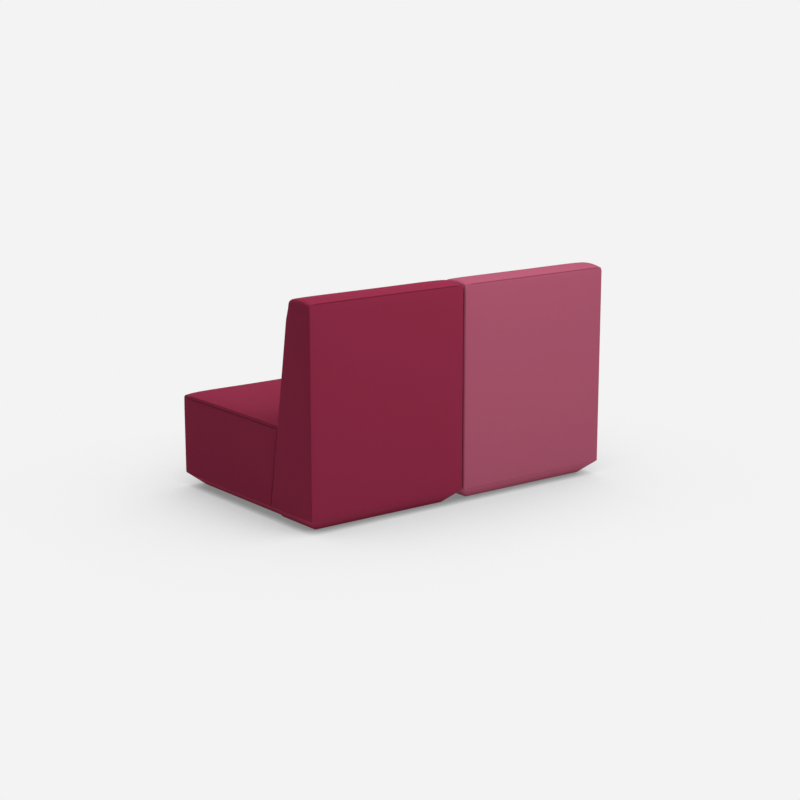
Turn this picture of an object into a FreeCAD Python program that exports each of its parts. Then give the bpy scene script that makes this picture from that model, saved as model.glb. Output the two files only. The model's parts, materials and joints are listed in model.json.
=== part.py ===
# High-back two-seat sofa as a parametric document, in millimetres.
#
# Two equal modules stand side by side, linked by steel bars under their seats. Each module is a seat
# block and a wedge-shaped back block that hangs on the seat along a sloping joint.
# Frame: +Z up, floor at zero, the seats face -Y, and the left module is the sitter's left, at +X.
import FreeCAD, Part
import os
import re

import Sketcher

SIZES = {
    # Outline of one module
    "block_width": 657,
    "module_gap": 6,
    "sofa_depth": 810,
    "rear_seam_height": 790,
    "back_crown": 10,
    "seat_seam_height": 340,
    "seat_crown": 6,
    "back_base_depth": 252,
    "back_top_depth": 125,
    "joint_gap": 1,
    # Bevelled base
    "bevel_inset": 53,
    "bevel_top": 52,
    "seat_floor_gap": 7,
    "back_floor_gap": 3,
    # Rounded edges
    "seat_nose_radius": 18,
    "seat_edge_radius": 8,
    "back_nose_radius": 27,
    "back_rear_radius": 6,
    "back_edge_radius": 6,
    "corner_radius": 8,
    # Covers and foam
    "cover_thickness": 2,
    "hem_width": 30,
    "dust_cover_thickness": 1,
    "foam_clearance": 0.3,
    "wrap_foam_thickness": 10,
    "back_foam_thickness": 60,
    # Seat frame
    "rail_thickness": 18,
    "seat_rail_height": 138,
    "board_thickness": 15,
    "corner_post_side": 40,
    "corner_post_height": 110,
    "frame_screw_diameter": 4,
    "frame_screw_length": 45,
    "frame_screw_head_diameter": 8,
    "frame_screw_head_height": 3.5,
    "screw_clearance": 0.1,
    # Springs and the pad over them
    "spring_wire_diameter": 3.6,
    "spring_half_width": 16,
    "spring_spacing": 108,
    "spring_clip_width": 24,
    "spring_clip_depth": 12,
    "spring_clip_height": 7,
    "spring_clearance": 0.2,
    "pad_thickness": 4,
    # Back frame
    "lower_rail_height": 178,
    "top_padding": 38,
    "panel_thickness": 6,
    "webbing_width": 70,
    "webbing_thickness": 2,
    # Rails that hang the back on the seat
    "hook_sheet": 2.4,
    "hook_length": 420,
    "hook_flange": 24,
    "hook_tongue": 14,
    "hook_height": 68,
    "hook_room": 1,
    "hook_window_margin": 6,
    "lift_travel": 30,
    # Glides
    "glide_diameter": 28,
    "glide_margin": 7,
    "glide_stem_diameter": 5,
    "glide_stem_length": 20,
    # Links between the two modules
    "link_bar_width": 36,
    "link_bar_thickness": 4,
    "link_bar_end": 14,
    "link_pin_diameter": 8,
    "link_pin_length": 26,
    "link_pin_tip": 2,
    "link_pin_clearance": 0.15,
    "link_bush_wall": 2,
    "link_bush_length": 24,
    "link_screw_spacing": 20,
    "link_screw_diameter": 4,
    "link_screw_length": 30,
    "link_screw_head_diameter": 8,
    "link_screw_head_height": 2.2,
    # How far a cutting tool runs past what it cuts
    "overrun": 20,
}

SPRING_COUNT = 5
SPRING_RUN_COUNT = 24
STRAP_COUNT = 4
# Places along the side rails of the frame screws, and along the side battens of the link bars
SCREW_SHARES = (0.15, 0.5, 0.85)
LINK_SHARES = (0.2, 0.8)

# Places that follow from the sizes, each a formula of sizes and of the places above it
PLACES = {
    "half_width": "block_width / 2",
    "front_y": "-sofa_depth / 2",
    "rear_y": "sofa_depth / 2",
    "module_shift": "(block_width + module_gap) / 2",
    "sofa_height": "rear_seam_height + back_crown",
    "seat_height": "seat_seam_height + seat_crown",
    # The joint plane is the front of the back: y = joint_foot_y + lean * z
    "lean": "(back_base_depth - back_top_depth) / (rear_seam_height - back_floor_gap)",
    "lean_stretch": "sqrt(1 + lean ^ 2)",
    "joint_foot_y": "rear_y - back_base_depth - lean * back_floor_gap",
    # The bevel moves by these parts of a cover's thickness where the block is inset by it
    "seat_bevel_drop": "bevel_top - seat_floor_gap",
    "seat_bevel_slant": "sqrt(bevel_inset ^ 2 + seat_bevel_drop ^ 2)",
    "seat_bevel_run": "(seat_bevel_slant - bevel_inset) / seat_bevel_drop",
    "seat_bevel_rise": "(seat_bevel_slant - seat_bevel_drop) / bevel_inset",
    "back_bevel_drop": "bevel_top - back_floor_gap",
    "back_bevel_slant": "sqrt(bevel_inset ^ 2 + back_bevel_drop ^ 2)",
    "back_bevel_run": "(back_bevel_slant - bevel_inset) / back_bevel_drop",
    "back_bevel_rise": "(back_bevel_slant - back_bevel_drop) / bevel_inset",
    # Space inside the covers, and the frame inside the wrap foam
    "cavity_inset": "cover_thickness + foam_clearance",
    "seat_face": "-joint_gap - cavity_inset",
    "back_face": "cavity_inset",
    "frame_inset": "cavity_inset + wrap_foam_thickness + foam_clearance",
    "frame_half": "half_width - frame_inset",
    "frame_front_y": "front_y + frame_inset",
    "frame_rear_y": "rear_y - frame_inset - panel_thickness",
    "upright_face": "back_face + back_foam_thickness + webbing_thickness",
    # Levels
    "seat_plinth_bottom": "seat_floor_gap + cavity_inset",
    "back_plinth_bottom": "back_floor_gap + cavity_inset",
    "board_top": "bevel_top + board_thickness",
    "seat_rail_top": "board_top + seat_rail_height",
    "spring_level": "seat_rail_top + spring_clip_height / 2",
    "pad_bottom": "seat_rail_top + spring_clip_height",
    "pad_top": "pad_bottom + pad_thickness",
    "lower_rail_top": "bevel_top + lower_rail_height",
    "back_frame_top": "rear_seam_height - top_padding",
    # Battens, wide enough for the hem and a glide beside it
    "glide_from_edge": "bevel_inset + hem_width + glide_margin + glide_diameter / 2",
    "batten_width": "glide_from_edge + glide_diameter / 2 + glide_margin",
    "joint_glide_distance": "hem_width + glide_margin + glide_diameter / 2",
    "joint_batten_width": "joint_glide_distance + glide_diameter / 2 + glide_margin",
    "glide_x": "half_width - glide_from_edge",
    "side_batten_front_y": "front_y + batten_width",
    "side_batten_rear_y": "joint_foot_y - joint_batten_width",
    # Hanging rails: the tongues share the room between the two frames
    "hook_bottom": "bevel_top + hook_height - hook_flange",
    "hook_web": "bevel_top + hook_height",
    "hook_slack": "(back_face - seat_face - 2 * hook_sheet) / 1.5",
    "hook_tip": "hook_web + hook_sheet + hook_tongue",
    "hanger_tip": "hook_web + hook_sheet + hook_room",
    "hanger_web": "hook_tip + hook_room",
    "hanger_top": "hanger_web + hook_sheet + hook_flange",
    # Links
    "link_x": "module_gap / 2 + glide_from_edge",
    "link_bar_top": "seat_floor_gap - foam_clearance",
    "link_bar_bottom": "link_bar_top - link_bar_thickness",
    "link_bush_diameter": "link_pin_diameter + 2 * (link_pin_clearance + link_bush_wall)",
}

# For each module: which way it lies along X, and which way its neighbour lies
MODULES = {"left": (1, -1), "right": (-1, 1)}

doc = FreeCAD.newDocument("Sofa")
parts = []
profiles = {}


def fill_sheet(name, cells_text):
    """Make a spreadsheet with one named cell for each entry."""
    sheet = doc.addObject("Spreadsheet::Sheet", name)
    for row, (alias, text) in enumerate(cells_text.items(), start=1):
        sheet.set(f"A{row}", alias)
        sheet.set(f"B{row}", text)
        sheet.setAlias(f"B{row}", alias)
    doc.recompute()
    return sheet


def cells(text):
    """Write a formula of sizes and places as an expression of sheet cells."""

    def owner(match):
        word = match.group(0)
        if word in SIZES:
            return f"Sizes.{word}"
        if word in PLACES:
            return f"Places.{word}"
        return word

    return re.sub(r"[a-z][a-z_]+", owner, text)


def value(text):
    """Work a formula out as a number."""
    return float(sizes.evalExpression(cells(text)))


def bind(item, path, text):
    """Tie a property of a document object to a formula."""
    item.setExpression(path, cells(text))


def joint(distance, height):
    """Y of a point at a height, at a distance behind the joint plane (negative is in front)."""
    return f"(joint_foot_y + lean * ({height}) + ({distance}) * lean_stretch)"


def shifted(side, text="0"):
    """X of a point of a module, from its X about the module's own middle."""
    direction, _ = MODULES[side]
    return f"{direction} * module_shift + ({text})"


def node(item, label):
    """Keep an object as a sub-part, under the name of its file."""
    item.Label = label
    parts.append(item)
    return item


def draw(body, plane, corners, arcs):
    """Sketch a closed outline on one of a body's planes, with every corner tied to its formulas.

    corners holds a pair of formulas for each corner, counter-clockwise. arcs gives the rise of each
    side that is an arc, by the number of the corner that it starts from.
    """
    sketch = body.newObject("Sketcher::SketchObject", "Outline")
    support = next(item for item in body.Origin.OriginFeatures if item.Role == plane)
    sketch.AttachmentSupport = [(support, "")]
    sketch.MapMode = "FlatFace"
    points = [FreeCAD.Vector(value(across), value(up), 0) for across, up in corners]
    for index, start in enumerate(points):
        end = points[(index + 1) % len(points)]
        if index in arcs:
            middle = (start + end) / 2 + FreeCAD.Vector(0, value(arcs[index]), 0)
            sketch.addGeometry(Part.Arc(start, middle, end))
        else:
            sketch.addGeometry(Part.LineSegment(start, end))
    for index, (point, formulas) in enumerate(zip(points, corners)):
        following = (index + 1) % len(points)
        sketch.addConstraint(Sketcher.Constraint("Coincident", index, 2, following, 1))
        for kind, number, formula in zip(("DistanceX", "DistanceY"), (point.x, point.y), formulas):
            place = sketch.addConstraint(Sketcher.Constraint(kind, -1, 1, index, 1, number))
            sketch.renameConstraint(place, f"{kind}{index}")
            bind(sketch, f"Constraints.{kind}{index}", formula)
    for index, rise in arcs.items():
        chord = f"({corners[index][0]} - ({corners[(index + 1) % len(points)][0]}))"
        radius = f"{chord} ^ 2 / (8 * ({rise})) + ({rise}) / 2"
        place = sketch.addConstraint(Sketcher.Constraint("Radius", index, value(radius)))
        sketch.renameConstraint(place, f"Radius{index}")
        bind(sketch, f"Constraints.Radius{index}", radius)
    return sketch


def prism(name, plane, corners, length, arcs=None, rounds=(), middle=True, x="0"):
    """Pad an outline into a body, and round the edges that stand on some of its corners.

    rounds holds pairs of corner numbers and a radius. A middle pad lies evenly on both sides of the
    plane. x moves the finished body.
    """
    body = doc.addObject("PartDesign::Body", name)
    sketch = draw(body, plane, corners, arcs or {})
    pad = body.newObject("PartDesign::Pad", "Pad")
    pad.Profile = sketch
    pad.SideType = "Symmetric" if middle else "One side"
    bind(pad, "Length", length)
    doc.recompute()
    base = pad
    for numbers, radius in rounds:
        axes = {"YZ_Plane": ("y", "z"), "XZ_Plane": ("x", "z"), "XY_Plane": ("x", "y")}[plane]
        spots = [tuple(value(formula) for formula in corners[number]) for number in numbers]
        fillet = body.newObject("PartDesign::Fillet", "Round")
        fillet.Base = (base, [f"Edge{number}" for number in edges_at(base.Shape, axes, spots)])
        bind(fillet, "Radius", radius)
        doc.recompute()
        base = fillet
    bind(body, ".Placement.Base.x", x)
    return body


def edges_at(shape, axes, spots):
    """Numbers of the edges that lie wholly on given spots, seen along the pad's direction."""
    found = []
    for number, edge in enumerate(shape.Edges, start=1):
        ends = [tuple(getattr(vertex.Point, axis) for axis in axes) for vertex in edge.Vertexes]
        for spot in spots:
            if len(ends) == 2 and all(same_spot(end, spot) for end in ends):
                found.append(number)
    return found


def same_spot(first, second):
    """Whether two points of an outline are the same, within a sketch's own tolerance."""
    tolerance = value("foam_clearance") / 10
    return all(abs(one - other) < tolerance for one, other in zip(first, second))


def slab(name, low, high, side=None):
    """A box between two corners, each three formulas; X is about the module's middle if side is given."""
    box = doc.addObject("Part::Box", name)
    for path, first, last in zip(("Length", "Width", "Height"), low, high):
        bind(box, path, f"({last}) - ({first})")
    bind(box, ".Placement.Base.x", shifted(side, low[0]) if side else low[0])
    bind(box, ".Placement.Base.y", low[1])
    bind(box, ".Placement.Base.z", low[2])
    return box


def rod(name, diameter, x, y, bottom, top):
    """An upright cylinder."""
    cylinder = doc.addObject("Part::Cylinder", name)
    bind(cylinder, "Radius", f"({diameter}) / 2")
    bind(cylinder, "Height", f"({top}) - ({bottom})")
    bind(cylinder, ".Placement.Base.x", x)
    bind(cylinder, ".Placement.Base.y", y)
    bind(cylinder, ".Placement.Base.z", bottom)
    return cylinder


def sloped(name, side, corners, half_length):
    """A bar along X, drawn in distances from the joint plane and heights."""
    outline = [(joint(distance, height), height) for distance, height in corners]
    return prism(name, "YZ_Plane", outline, f"2 * ({half_length})", x=shifted(side))


def sloped_board(name, side, near, far, bottom, top, half_length):
    """A board that lies along the joint plane, between two distances from it."""
    return sloped(name, side, [(near, bottom), (far, bottom), (far, top), (near, top)], half_length)


def join(kind, name, base, tool):
    """A boolean of two objects."""
    result = doc.addObject(kind, name)
    result.Base = base
    result.Tool = tool
    return result


def common(name, base, tool):
    return join("Part::Common", name, base, tool)


def cut(name, base, tool):
    return join("Part::Cut", name, base, tool)


def group(name, items):
    """Several separate solids as one object."""
    compound = doc.addObject("Part::Compound", name)
    compound.Links = items
    return compound


# The blocks: an outline from the side, one from the front and one from above, in common


def side_profile(kind, inset):
    """The block's outline seen from the side, as a prism across both modules."""
    if (kind, inset) in profiles:
        return profiles[kind, inset]
    floor = f"({kind}_floor_gap + {inset})"
    bevel_foot = f"(bevel_inset + {inset} * {kind}_bevel_run)"
    bevel_head = f"(bevel_top + {inset} * {kind}_bevel_rise)"
    if kind == "seat":
        edge = f"(seat_seam_height - {inset})"
        front = f"(front_y + {inset})"
        corners = [
            (f"front_y + {bevel_foot}", floor),
            (joint(f"-joint_gap - {inset}", floor), floor),
            (joint(f"-joint_gap - {inset}", edge), edge),
            (front, edge),
            (front, bevel_head),
        ]
        arcs = {2: "seat_crown"}
        rounds = [((3,), f"seat_nose_radius - {inset}")]
    else:
        edge = f"(rear_seam_height - {inset})"
        rear = f"(rear_y - {inset})"
        corners = [
            (joint(inset, floor), floor),
            (f"rear_y - {bevel_foot}", floor),
            (rear, bevel_head),
            (rear, edge),
            (joint(inset, edge), edge),
        ]
        arcs = {3: "back_crown"}
        rounds = [((4,), f"back_nose_radius - {inset}"), ((3,), f"back_rear_radius - {inset}")]
    length = "2 * (block_width + module_gap + overrun)"
    profiles[kind, inset] = prism(f"{kind}_side", "YZ_Plane", corners, length, arcs, rounds)
    return profiles[kind, inset]


def front_profile(side, kind, inset):
    """One module's outline seen from the front, as a prism through the whole depth."""
    floor = f"({kind}_floor_gap + {inset})"
    foot = f"(half_width - bevel_inset - {inset} * {kind}_bevel_run)"
    head = f"(bevel_top + {inset} * {kind}_bevel_rise)"
    half = f"(half_width - {inset})"
    top = "seat_height" if kind == "seat" else "sofa_height"
    top = f"({top} - {inset})"
    corners = [
        (f"-{foot}", floor), (foot, floor),
        (half, head), (half, top), (f"-{half}", top), (f"-{half}", head),
    ]
    rounds = [((3, 4), f"{kind}_edge_radius - {inset}")]
    length = "sofa_depth + 2 * overrun"
    return prism(f"{kind}_front", "XZ_Plane", corners, length, rounds=rounds, x=shifted(side))


def plan_profile(side, inset):
    """One module's outline seen from above, as a prism through the whole height."""
    if (side, inset) in profiles:
        return profiles[side, inset]
    half = f"(half_width - {inset})"
    front = f"(front_y + {inset})"
    rear = f"(rear_y - {inset})"
    corners = [(f"-{half}", front), (half, front), (half, rear), (f"-{half}", rear)]
    rounds = [((0, 1, 2, 3), f"corner_radius - {inset}")]
    length = "sofa_height + overrun"
    profiles[side, inset] = prism(
        "plan", "XY_Plane", corners, length, rounds=rounds, middle=False, x=shifted(side)
    )
    return profiles[side, inset]


def block(side, kind, inset):
    """A seat or back block, with every face moved inwards by the inset."""
    outline = common("Outline", side_profile(kind, inset), front_profile(side, kind, inset))
    return common(f"{side}_{kind}_block", outline, plan_profile(side, inset))


# Pieces that seat and back share


def floor_joint_y(kind):
    """Y of the joint plane's foot on a block's own underside."""
    return joint("-joint_gap" if kind == "seat" else "0", f"{kind}_floor_gap")


def glide_places(side, kind):
    """X and Y of a block's four glides."""
    if kind == "seat":
        rows = ("front_y + glide_from_edge", f"{floor_joint_y(kind)} - joint_glide_distance")
    else:
        rows = (f"{floor_joint_y(kind)} + joint_glide_distance", "rear_y - glide_from_edge")
    return [(shifted(side, x), y) for x in ("-glide_x", "glide_x") for y in rows]


def glides(side, kind):
    """Four plastic glides, each a disc with a stem that is driven into the plinth."""
    bottom = f"{kind}_plinth_bottom"
    items = []
    for x, y in glide_places(side, kind):
        disc = rod("Disc", "glide_diameter", x, y, "0", bottom)
        stem = rod("Stem", "glide_stem_diameter", x, y, bottom, f"{bottom} + glide_stem_length")
        items.append(join("Part::Fuse", "Glide", disc, stem))
    node(group("Glides", items), f"{side}_{kind}_glides")


def stem_holes(side, kind):
    """Drilled holes for the stems of a block's glides."""
    diameter = "glide_stem_diameter + 2 * screw_clearance"
    top = f"{kind}_plinth_bottom + glide_stem_length + screw_clearance"
    return [
        rod("StemHole", diameter, x, y, f"{kind}_plinth_bottom - overrun", top)
        for x, y in glide_places(side, kind)
    ]


def glide_holes(side, kind):
    """Holes in the cloth under a block, round its glides."""
    diameter = "glide_diameter + 2 * foam_clearance"
    top = f"{kind}_plinth_bottom"
    return [rod("GlideHole", diameter, x, y, "-overrun", top) for x, y in glide_places(side, kind)]


def plinth(side, kind, cavity, holes):
    """Four bevelled battens under the frame, with the block's own outline outside."""
    bottom = f"{kind}_plinth_bottom - overrun"
    wide = "half_width + overrun"
    inner = "half_width - batten_width"
    if kind == "seat":
        near, far = "side_batten_front_y", "side_batten_rear_y"
    else:
        near = "joint_foot_y + joint_batten_width"
        far = "rear_y - batten_width"
    spans = [
        ((f"-({wide})", "front_y - overrun"), (wide, near)),
        ((f"-({wide})", far), (wide, "rear_y + overrun")),
        ((f"-({wide})", near), (f"-({inner})", far)),
        ((inner, near), (wide, far)),
    ]
    battens = []
    for (low_x, low_y), (high_x, high_y) in spans:
        stock = slab("Batten", (low_x, low_y, bottom), (high_x, high_y, "bevel_top"), side)
        battens.append(common("Batten", cavity, stock))
    drilled = cut("Plinth", group("Battens", battens), group("Holes", holes))
    node(drilled, f"{side}_{kind}_plinth")


def hook_window(side, near, far, bottom, top):
    """An opening in a cover, where the hanging rails reach through."""
    half = "hook_length / 2 + hook_window_margin"
    return sloped_board("Window", side, near, far, bottom, top, half)


# The seat


def seat_cover(side):
    """The seat's sewn cover: open underneath inside its hem, and behind at the hook rail."""
    shell = cut("Shell", block(side, "seat", "0"), block(side, "seat", "cover_thickness"))
    half = "half_width - bevel_inset - hem_width"
    opening = slab(
        "Opening",
        (f"-({half})", "front_y + bevel_inset + hem_width", "-overrun"),
        (half, f"{floor_joint_y('seat')} - hem_width", "seat_plinth_bottom"),
        side,
    )
    window = hook_window(
        side, "-joint_gap - cavity_inset", "0",
        "hook_bottom - hook_window_margin", "hanger_top + lift_travel + hook_window_margin",
    )
    node(cut("Cover", cut("Shell", shell, opening), window), f"{side}_seat_cover")


def seat_foam(side, cavity):
    """The crowned seat foam, and the thin foam round the frame's front and sides."""
    wide = "half_width + overrun"
    above = slab(
        "Above", (f"-({wide})", "front_y - overrun", "pad_top"),
        (wide, "rear_y + overrun", "seat_height + overrun"), side,
    )
    node(common("Foam", cavity, above), f"{side}_seat_cushion_foam")
    around = slab(
        "Around", (f"-({wide})", "front_y - overrun", "bevel_top"),
        (wide, "rear_y + overrun", "pad_top"), side,
    )
    inside = "frame_half + foam_clearance"
    core = slab(
        "Core", (f"-({inside})", "frame_front_y - foam_clearance", "0"),
        (inside, "rear_y + overrun", "seat_height"), side,
    )
    node(cut("Wrap", common("Band", cavity, around), core), f"{side}_seat_wrap_foam")


def seat_rails(side):
    """The timber box: an upright front rail, a sloping rear rail, and two side rails between them."""
    front = slab(
        "FrontRail", ("-frame_half", "frame_front_y", "board_top"),
        ("frame_half", "frame_front_y + rail_thickness", "seat_rail_top"), side,
    )
    node(front, f"{side}_seat_front_rail")
    rear = sloped_board(
        "RearRail", side, "seat_face - rail_thickness", "seat_face",
        "board_top", "seat_rail_top", "frame_half",
    )
    node(rear, f"{side}_seat_rear_rail")
    outline = [
        ("frame_front_y + rail_thickness", "board_top"),
        (joint("seat_face - rail_thickness", "board_top"), "board_top"),
        (joint("seat_face - rail_thickness", "seat_rail_top"), "seat_rail_top"),
        ("frame_front_y + rail_thickness", "seat_rail_top"),
    ]
    rails = []
    for direction in (-1, 1):
        x = shifted(side, f"{direction} * (frame_half - rail_thickness / 2)")
        rails.append(prism("SideRail", "YZ_Plane", outline, "rail_thickness", x=x))
    holes = group("ScrewHoles", frame_screw_shapes(side, "screw_clearance"))
    node(cut("SideRails", group("Rails", rails), holes), f"{side}_seat_side_rails")


def seat_posts(side):
    """Posts glued into the frame's corners."""
    inner = "frame_half - rail_thickness"
    front = "frame_front_y + rail_thickness"
    rear = f"{joint('seat_face - rail_thickness', 'board_top')} - corner_post_side"
    posts = []
    for low_x in (f"-({inner})", f"{inner} - corner_post_side"):
        for low_y in (front, rear):
            high = (f"{low_x} + corner_post_side", f"{low_y} + corner_post_side")
            low = (low_x, low_y, "board_top")
            posts.append(slab("Post", low, (*high, "board_top + corner_post_height"), side))
    node(group("Posts", posts), f"{side}_seat_corner_posts")


def seat_board(side):
    """The plywood board between plinth and rails."""
    outline = [
        ("frame_front_y", "bevel_top"),
        (joint("seat_face", "bevel_top"), "bevel_top"),
        (joint("seat_face", "board_top"), "board_top"),
        ("frame_front_y", "board_top"),
    ]
    board = prism("Board", "YZ_Plane", outline, "2 * frame_half", x=shifted(side))
    holes = group("ScrewHoles", frame_screw_shapes(side, "screw_clearance"))
    node(cut("Board", board, holes), f"{side}_seat_base_board")


def frame_screw_shapes(side, clearance="0"):
    """Screws up through the board into the side rails, or with a clearance the holes for them."""
    front = "(frame_front_y + rail_thickness)"
    rear = joint("seat_face - rail_thickness", "board_top")
    head_top = f"bevel_top + frame_screw_head_height + {clearance}"
    items = []
    for direction in (-1, 1):
        x = shifted(side, f"{direction} * (frame_half - rail_thickness / 2)")
        for share in SCREW_SHARES:
            y = f"{front} + {share} * ({rear} - {front})"
            head = rod("Head", f"frame_screw_head_diameter + 2 * {clearance}", x, y, "bevel_top", head_top)
            shank = rod(
                "Shank", f"frame_screw_diameter + 2 * {clearance}", x, y,
                "bevel_top", f"bevel_top + frame_screw_length + {clearance}",
            )
            items.append(join("Part::Fuse", "Screw", head, shank))
    return items


def spring_ends():
    """Y of the springs' front and rear ends, over the middle of the rails."""
    return "frame_front_y + rail_thickness / 2", joint("seat_face - rail_thickness / 2", "spring_level")


def spring_places():
    """X of each spring about the module's middle."""
    return [f"{index - (SPRING_COUNT - 1) / 2} * spring_spacing" for index in range(SPRING_COUNT)]


def spring(x):
    """One sinuous spring: straight runs across, joined by half turns, as a pipe along one wire."""
    front, rear = (value(y) for y in spring_ends())
    half = value("spring_half_width")
    level = value("spring_level")
    pitch = (rear - front) / (SPRING_RUN_COUNT - 1)
    edges = []
    for run in range(SPRING_RUN_COUNT):
        direction = 1 if run % 2 == 0 else -1
        y = front + run * pitch
        start = FreeCAD.Vector(x - direction * half, y, level)
        end = FreeCAD.Vector(x + direction * half, y, level)
        edges.append(Part.LineSegment(start, end).toShape())
        if run < SPRING_RUN_COUNT - 1:
            middle = end + FreeCAD.Vector(direction * pitch / 2, pitch / 2, 0)
            edges.append(Part.Arc(end, middle, end + FreeCAD.Vector(0, pitch, 0)).toShape())
    path = Part.Wire(edges)
    start = FreeCAD.Vector(x - half, front, level)
    ring = Part.Circle(start, FreeCAD.Vector(1, 0, 0), value("spring_wire_diameter / 2"))
    gap = pitch - value("spring_wire_diameter")
    return path.makePipeShell([Part.Wire([ring.toShape()])], True, False), gap


def seat_springs(side):
    """The springs, and a clip on the rails for each of their ends."""
    made = [spring(value(shifted(side, place))) for place in spring_places()]
    springs = doc.addObject("Part::Feature", "Springs")
    springs.Shape = Part.makeCompound([shape for shape, _ in made])
    springs.Placement = FreeCAD.Placement()
    print(f"{side} springs: least gap between runs {min(gap for _, gap in made):.2f}")
    node(springs, f"{side}_seat_springs")
    clips = []
    for place in spring_places():
        for y in spring_ends():
            low = (f"{place} - spring_clip_width / 2", f"{y} - spring_clip_depth / 2", "seat_rail_top")
            high = (f"{place} + spring_clip_width / 2", f"{y} + spring_clip_depth / 2", "pad_bottom")
            hole = doc.addObject("Part::Cylinder", "ClipHole")
            bind(hole, "Radius", "spring_wire_diameter / 2 + spring_clearance")
            bind(hole, "Height", "spring_clip_width + 2 * overrun")
            hole.Placement.Rotation = FreeCAD.Rotation(FreeCAD.Vector(0, 1, 0), 90)
            start = f"{place} - spring_clip_width / 2 - overrun"
            bind(hole, ".Placement.Base.x", shifted(side, start))
            bind(hole, ".Placement.Base.y", y)
            bind(hole, ".Placement.Base.z", "spring_level")
            clips.append(cut("Clip", slab("Clip", low, high, side), hole))
    node(group("Clips", clips), f"{side}_seat_spring_clips")


def seat_pad(side):
    """The felt pad on the springs."""
    outline = [
        ("frame_front_y", "pad_bottom"),
        (joint("seat_face", "pad_bottom"), "pad_bottom"),
        (joint("seat_face", "pad_top"), "pad_top"),
        ("frame_front_y", "pad_top"),
    ]
    pad = prism("Pad", "YZ_Plane", outline, "2 * frame_half", x=shifted(side))
    node(pad, f"{side}_seat_spring_pad")


def seat_dust_cover(side, holes):
    """The cloth that closes the underside, inside the hem."""
    half = "half_width - bevel_inset - hem_width - foam_clearance"
    cloth = slab(
        "Cloth",
        (f"-({half})", "front_y + bevel_inset + hem_width + foam_clearance",
         "seat_plinth_bottom - dust_cover_thickness"),
        (half, f"{floor_joint_y('seat')} - hem_width - foam_clearance", "seat_plinth_bottom"),
        side,
    )
    node(cut("DustCover", cloth, group("Holes", holes)), f"{side}_seat_dust_cover")


def seat_hook_rail(side):
    """The rail on the seat's rear: a flange on the frame, and a tongue that points up."""
    tongue = "seat_face + hook_sheet + hook_slack"
    outline = [
        ("seat_face", "hook_bottom"),
        ("seat_face + hook_sheet", "hook_bottom"),
        ("seat_face + hook_sheet", "hook_web"),
        (f"{tongue} + hook_sheet", "hook_web"),
        (f"{tongue} + hook_sheet", "hook_tip"),
        (tongue, "hook_tip"),
        (tongue, "hook_web + hook_sheet"),
        ("seat_face", "hook_web + hook_sheet"),
    ]
    node(sloped("HookRail", side, outline, "hook_length / 2"), f"{side}_seat_hook_rail")


def seat(side):
    """All pieces of one module's seat block."""
    cavity = block(side, "seat", "cavity_inset")
    seat_cover(side)
    seat_foam(side, cavity)
    seat_pad(side)
    seat_springs(side)
    seat_rails(side)
    seat_posts(side)
    seat_board(side)
    node(group("FrameScrews", frame_screw_shapes(side)), f"{side}_seat_frame_screws")
    plinth(side, "seat", cavity, stem_holes(side, "seat") + link_holes(side, True))
    seat_dust_cover(side, glide_holes(side, "seat") + link_holes(side, False))
    glides(side, "seat")
    seat_hook_rail(side)


# The back


def back_cover(side):
    """The back's sewn cover, with holes for the glides and an opening in front for the hanger rail."""
    shell = cut("Shell", block(side, "back", "0"), block(side, "back", "cover_thickness"))
    window = hook_window(
        side, "-joint_gap", "back_face",
        "hook_bottom - lift_travel - hook_window_margin", "hanger_top + hook_window_margin",
    )
    holes = group("Holes", glide_holes(side, "back"))
    node(cut("Cover", cut("Shell", shell, window), holes), f"{side}_back_cover")


def back_foam(side, cavity):
    """Front foam, the crowned top foam, and thin foam round the frame's sides and rear."""
    wide = "half_width + overrun"
    behind = "back_face + back_foam_thickness"
    front = sloped_board(
        "FrontZone", side, "back_face - overrun", behind, "lower_rail_top", "back_frame_top", wide
    )
    node(common("FrontFoam", cavity, front), f"{side}_back_front_foam")
    above = slab(
        "Above", (f"-({wide})", "front_y", "back_frame_top"),
        (wide, "rear_y + overrun", "sofa_height + overrun"), side,
    )
    node(common("TopFoam", cavity, above), f"{side}_back_top_foam")
    around = slab(
        "Around", (f"-({wide})", "front_y", "bevel_top"),
        (wide, "rear_y + overrun", "back_frame_top"), side,
    )
    inside = "frame_half + foam_clearance"
    core = slab(
        "Core", (f"-({inside})", "front_y - overrun", "0"),
        (inside, "frame_rear_y + panel_thickness + foam_clearance", "sofa_height"), side,
    )
    clear = sloped_board(
        "FrontRoom", side, "back_face - overrun", f"{behind} + foam_clearance",
        "lower_rail_top - foam_clearance", "sofa_height", wide,
    )
    band = cut("Band", common("Band", cavity, around), core)
    node(cut("Wrap", band, clear), f"{side}_back_wrap_foam")


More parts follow.
